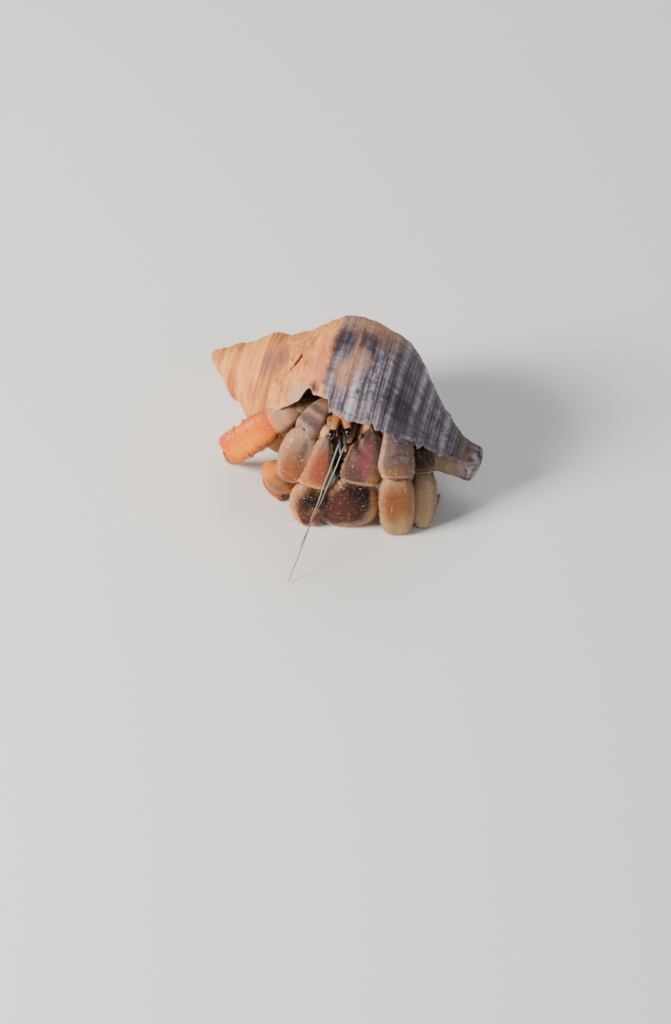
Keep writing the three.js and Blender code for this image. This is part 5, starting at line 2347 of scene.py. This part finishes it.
@dataclass(frozen=True)
class Head:
    """Eyes on their stalks, feelers, mouth legs, and the shield behind them."""

    stalk_coat: Coat = Coat(
        (140, 98, 70), (192, 140, 96), (176, 150, 130), (0.35, 0.86), (112, 72, 50),
        (124, 82, 58), (0.8, 0.8), specks=0.1, rims=0.2, sheen=0.3,
    )
    base_coat: Coat = Coat(
        (150, 110, 90), (112, 62, 46), (178, 140, 116), (0.22, 0.8), (196, 160, 130),
        (84, 46, 36), (0.6, 0.5), specks=0.25, rims=0.6, sheen=0.25,
    )
    mouth_coat: Coat = Coat(
        (90, 62, 50), (84, 52, 42), (104, 72, 54), (0.3, 0.8), (110, 84, 68),
        (66, 42, 36), (0.5, 0.5), specks=0.3,
    )
    shield_coat: Coat = Coat(
        (186, 148, 130), (168, 120, 100), (178, 134, 108), (0.12, 0.6), (160, 118, 98),
        (160, 118, 98), (0.5, 0.5), (Blotch((126, 76, 60), 0.5, 0.0, 0.2, 0.5, 0.6),), specks=0.4,
    )
    short_coat: Coat = Coat(
        (84, 76, 72), (100, 94, 92), (150, 148, 146), (0.3, 0.86), specks=0.0, sheen=0.2,
    )

    def eyes(self) -> None:
        """Stalks, and the dark eyes on their ends."""
        face = (0, -0.4, 1)
        stalk = {"face": face, "width": (1.9, 1.8, 1.5), "depth": (1.7, 1.6, 1.5)}
        eye = {"face": face, "width": (1.25, 1.4, 1.1), "depth": (1.25, 1.4, 1.1), "blunt": (2.0, 2.0)}
        relief = Relief(granule=0.4, stand=0.01, cover=0.2, rim=0.0, uneven=0.03)
        smooth = Relief(granule=1.0, stand=0.0, cover=0.0, rim=0.0, uneven=0.0)
        ends = {
            "right": ((0.6, 2.8, 22.5), (-0.5, -1.1, 21.1), (-0.3, -0.5, 21.25), (-0.85, -2.35, 20.55)),
            "left": ((1.6, 2.8, 22.6), (2.2, -1.0, 21.4), (2.05, -0.4, 21.55), (2.55, -2.25, 20.85)),
        }
        for seed, (side, (root, tip, near, far)) in enumerate(ends.items()):
            plate = Plate(root, tip, rings=48, sides=56, relief=relief, **stalk)
            Organ("eyestalk_" + side, Slot.EYESTALK, plate, self.stalk_coat).build(seed)
            dome, _ = Plate(near, far, rings=48, sides=56, relief=smooth, **eye).shaped(seed)
            name = "cornea_" + side
            make_object(name, dome, EyeFinish().material(name), (name,))

    def feelers(self) -> None:
        """The long feelers, the short ones, and the thick joints they stand on."""
        ends = {
            "right": ((1.1, -1.0, 19.9), (-8.3, -17.9, 0.45), (0.1, -0.1, 0.25), (0.14, 0.11, 0.07), 96),
            "left": ((1.7, -1.2, 18.0), (-6.3, -11.6, 3.0), (0.2, -0.1, 0.2), (0.13, 0.10, 0.07), 74),
        }
        for seed, (side, sizes) in enumerate(ends.items()):
            name = "antenna_" + side
            surface = Feeler(*sizes).mesh(seed + 1)
            make_object(name, surface, FeelerFinish().material(name), (name,))
        relief = Relief(granule=0.4, stand=0.02, cover=0.3, rim=0.05, wrinkle=0.05, folds=4.0, uneven=0.03)
        short = {"face": (0, -1, 0.5), "width": (0.8, 0.6, 0.4), "depth": (0.8, 0.6, 0.4)}
        base = {"face": (0, -1, 0.6), "width": (1.6, 2.0, 1.3), "depth": (1.4, 1.6, 1.2)}
        pairs = (
            ("antennule_right", (0.6, 0.4, 20.6), (0.9, -4.0, 18.4), short, self.short_coat),
            ("antennule_left", (1.5, 0.4, 20.6), (1.8, -3.8, 18.6), short, self.short_coat),
            ("antenna_base_right", (-0.9, 2.6, 21.4), (0.3, -0.7, 19.7), base, self.base_coat),
            ("antenna_base_left", (3.6, 2.6, 21.4), (2.1, -0.8, 18.0), base, self.base_coat),
        )
        for seed, (name, start, end, sizes, coat) in enumerate(pairs):
            plate = Plate(start, end, rings=56, sides=48, relief=relief, **sizes)
            Organ(name, Slot.FEELER, plate, coat).build(seed + 5)

    def mouth(self) -> None:
        """The outer mouth legs with their fringes, whose dark browns also stand in for the shade between the
        claws.
        """
        relief = Relief(granule=0.4, stand=0.03, cover=0.3, rim=0.06, wrinkle=0.10, folds=3.0, uneven=0.05)
        fringe = Bristles("mouth_fringe", Slot.MOUTHPART, (130, 100, 78), (90, 64, 50))
        # The long dark tassels are real hairs that also stand in for the shade between the claws.
        tassel = Bristles("mouth_tassel_and_shade", Slot.MOUTHPART, (76, 54, 44), (62, 42, 36))
        sizes = {"face": (0, -1, 0.5), "width": (2.2, 2.5, 1.6), "depth": (1.6, 1.9, 1.2)}
        ends = {
            "right": ((-0.1, 3.0, 18.6), (-0.1, 0.2, 12.6)),
            "left": ((2.4, 3.0, 18.6), (1.8, 0.2, 12.4)),
        }
        for seed, (side, (start, end)) in enumerate(ends.items()):
            plate = Plate(start, end, rings=56, sides=48, relief=relief, **sizes)
            grid = Organ("mouth_leg_" + side, Slot.MOUTHPART, plate, self.mouth_coat).build(seed + 11)
            fringe.grow(grid, 260, 1.0, 0.9, seed + 30)
            tassel.grow(grid, 420, 4.2, 0.3, seed + 40, 3.2, 2.0)
        fringe.build()
        tassel.build()

    def trunk(self) -> None:
        """The shield over the back of the head, and the body below it."""
        shield = Plate(
            (1.2, 1.2, 21.6), (4.4, 7.4, 27.4), (-0.1, -0.6, 0.75), (5.0, 8.4, 6.4), (3.6, 5.4, 4.6),
            rings=80, sides=90, indoors=True,
            relief=Relief(granule=0.5, stand=0.05, cover=0.4, rim=0.1, wrinkle=0.08, folds=4.0, uneven=0.12),
        )
        chest = Plate(
            (1.8, 2.2, 18.0), (3.4, 7.6, 23.0), (-0.1, -0.6, 0.75), (3.8, 6.0, 4.8), (2.6, 3.8, 3.2),
            rings=56, sides=60, indoors=True,
            relief=Relief(granule=0.5, cover=0.3, wrinkle=0.15, folds=5.0),
        )
        Organ("carapace", Slot.CARAPACE, shield, self.shield_coat).build(21)
        Organ("thorax", Slot.CARAPACE, chest, self.mouth_coat).build(22)

    def build(self) -> None:
        """Makes every part of the head."""
        self.eyes()
        self.feelers()
        self.mouth()
        self.trunk()


@dataclass(frozen=True)
class Abdomen:
    """The soft hind body, curled up inside the last whorl."""

    spiral: Spiral = Spiral()
    start: float = 26.0
    end: float = 142.0
    clearance: float = 0.75
    groove: float = 1.2
    glaze: float = 0.3

    def mesh(self) -> Surface:
        """A closed folded sack that fills the room in the whorl.

        Returns:
            The closed sack.
        """
        rings, rows = 90, 50
        angles = np.linspace(self.start, self.end, rings)
        across = np.linspace(0.14, 1.86, rows)
        angle, s = np.meshgrid(angles, across, indexing="ij")
        along, outer = self.spiral.section(angle, s)
        top = outer - self.spiral.wall - self.clearance
        older, _ = self.spiral.outer_radius(angle + 360.0, along)
        floor = np.minimum(older + self.glaze + self.clearance, top - 0.1)
        close = np.sin(np.pi * np.clip((angles - self.start) / (self.end - self.start), 0.01, 0.99)) ** 0.35
        middle, half = (top + floor) / 2, (top - floor) / 2 * close[:, None]
        half = half * np.sin(np.pi * np.linspace(0.02, 0.98, rows))[None] ** 0.3
        hills = Noise.hills(np.stack([along, angle * 0.2, s], -1), 1.4, 8)
        fold = 0.10 * np.cos(np.radians(angle * 14.0)) + 0.12 * hills
        upper = self.spiral.place(angle, along, middle + half - 0.15 + fold * close[:, None])
        lower = self.spiral.place(angle, along, np.maximum(middle - half, 0.1))
        surface = Surface.tube(np.concatenate([upper, lower[:, ::-1]], axis=1))
        share = np.repeat(np.linspace(0, 1, rings)[None], 2 * rows, axis=0)
        surface.values = {"along": np.append(share.ravel(), (0.0, 1.0))}
        return surface.turned_out()

    def build(self) -> None:
        """Makes the hind body in place of its solid."""
        skin = SkinFinish((196, 150, 128), (134, 82, 74)).material("abdomen skin", 300.0)
        make_object("abdomen", self.mesh(), skin, ("abdomen",))


# ---------------------------------------------------------------- studio


@dataclass(frozen=True)
class Studio:
    """A plain pale floor, soft lights and the camera.

    Attributes:
        aim: Where the camera looks, in layout millimetres.
        lit: Where the lights aim, in metres.
        distance: How far off the camera stands, in metres.
        height_angle: How steeply it looks down, in degrees.
        focal_pixels: Its focal length in pixels of the picture.
        long_side: The picture's longer side in pixels.
        sensor: Width of the camera's sensor, in millimetres.
        floor_side: Half the length of the floor's side, in metres.
    """

    aim: Triple = (0.0, 0.0, 0.0)
    lit: Triple = (0.0, 0.0, 0.012)
    distance: float = 0.5
    height_angle: float = 45.0
    focal_pixels: float = 2750.0
    long_side: int = 1024
    sensor: float = 36.0
    floor_side: float = 3.0

    def floor(self) -> None:
        """A wide plain floor under the model."""
        material, wiring, shader = Paint("studio floor", 0.8).start()
        cloud = wiring.noise(wiring.place(), 30.0, 3.0)
        colour = wiring.blend(wiring.span(cloud, 0.3, 0.7), (240, 238, 234), (246, 244, 241))
        wiring.feed(shader.inputs["Base Color"], colour)
        mesh = bpy.data.meshes.new("floor")
        side = self.floor_side
        corners = [(-side, -side, 0.0), (side, -side, 0.0), (side, side, 0.0), (-side, side, 0.0)]
        mesh.from_pydata(corners, [], [(0, 1, 2, 3)])
        mesh.materials.append(material)
        floor = bpy.data.objects.new("floor", mesh)
        bpy.context.scene.collection.objects.link(floor)

    def light(self, name: str, place: Triple, size: float, power: float, colour: Triple) -> None:
        """A square soft light aimed at the model.

        Args:
            name: The light's name.
            place: Where it hangs, in metres.
            size: Length of its side, in metres.
            power: Its power in watts.
            colour: Its colour.
        """
        data = bpy.data.lights.new(name, "AREA")
        data.size = size
        data.energy = power
        data.color = colour
        lamp = bpy.data.objects.new(name, data)
        lamp.location = place
        lamp.rotation_mode = "QUATERNION"
        lamp.rotation_quaternion = (Vector(self.lit) - Vector(place)).to_track_quat("-Z", "Y")
        bpy.context.scene.collection.objects.link(lamp)

    def world(self) -> None:
        """Pale even light from all round."""
        world = bpy.data.worlds.new("studio")
        world.use_nodes = True
        background = world.node_tree.nodes["Background"]
        background.inputs["Color"].default_value = (0.80, 0.84, 0.90, 1.0)
        background.inputs["Strength"].default_value = 0.19
        bpy.context.scene.world = world

    def camera(self) -> None:
        """The camera, looking down at the ground under the head."""
        turn = math.radians(self.height_angle)
        aim = Vector(placed(np.array(self.aim)))
        data = bpy.data.cameras.new("camera")
        data.sensor_fit = "AUTO"
        data.sensor_width = self.sensor
        data.lens = self.sensor * self.focal_pixels / self.long_side
        data.clip_start = 0.01
        camera = bpy.data.objects.new("camera", data)
        back = Vector((0.0, -math.cos(turn), math.sin(turn)))
        camera.location = aim + back * self.distance
        camera.rotation_mode = "QUATERNION"
        camera.rotation_quaternion = (-back).to_track_quat("-Z", "Y")
        bpy.context.scene.collection.objects.link(camera)
        bpy.context.scene.camera = camera

    def build(self) -> None:
        """Sets up everything round the model."""
        self.camera()
        self.world()
        self.floor()
        self.light("key light", (-0.46, -0.18, 0.32), 0.20, 6.4, (1.0, 0.92, 0.82))
        self.light("fill light", (0.45, -0.35, 0.35), 0.5, 0.8, (0.90, 0.95, 1.0))
        self.light("back light", (0.05, 0.45, 0.45), 0.4, 1.5, (1.0, 0.97, 0.94))


def main() -> None:
    """Builds the studio and every part of the model in order."""
    logging.basicConfig(level=logging.INFO, format="%(message)s")
    Studio().build()
    Shell().build()
    for limb in (claw_left, claw_right, leg_second_left, leg_third_left, leg_second_right, leg_third_right):
        limb().build()
    Head().build()
    Abdomen().build()


if __name__ == "__main__":
    main()
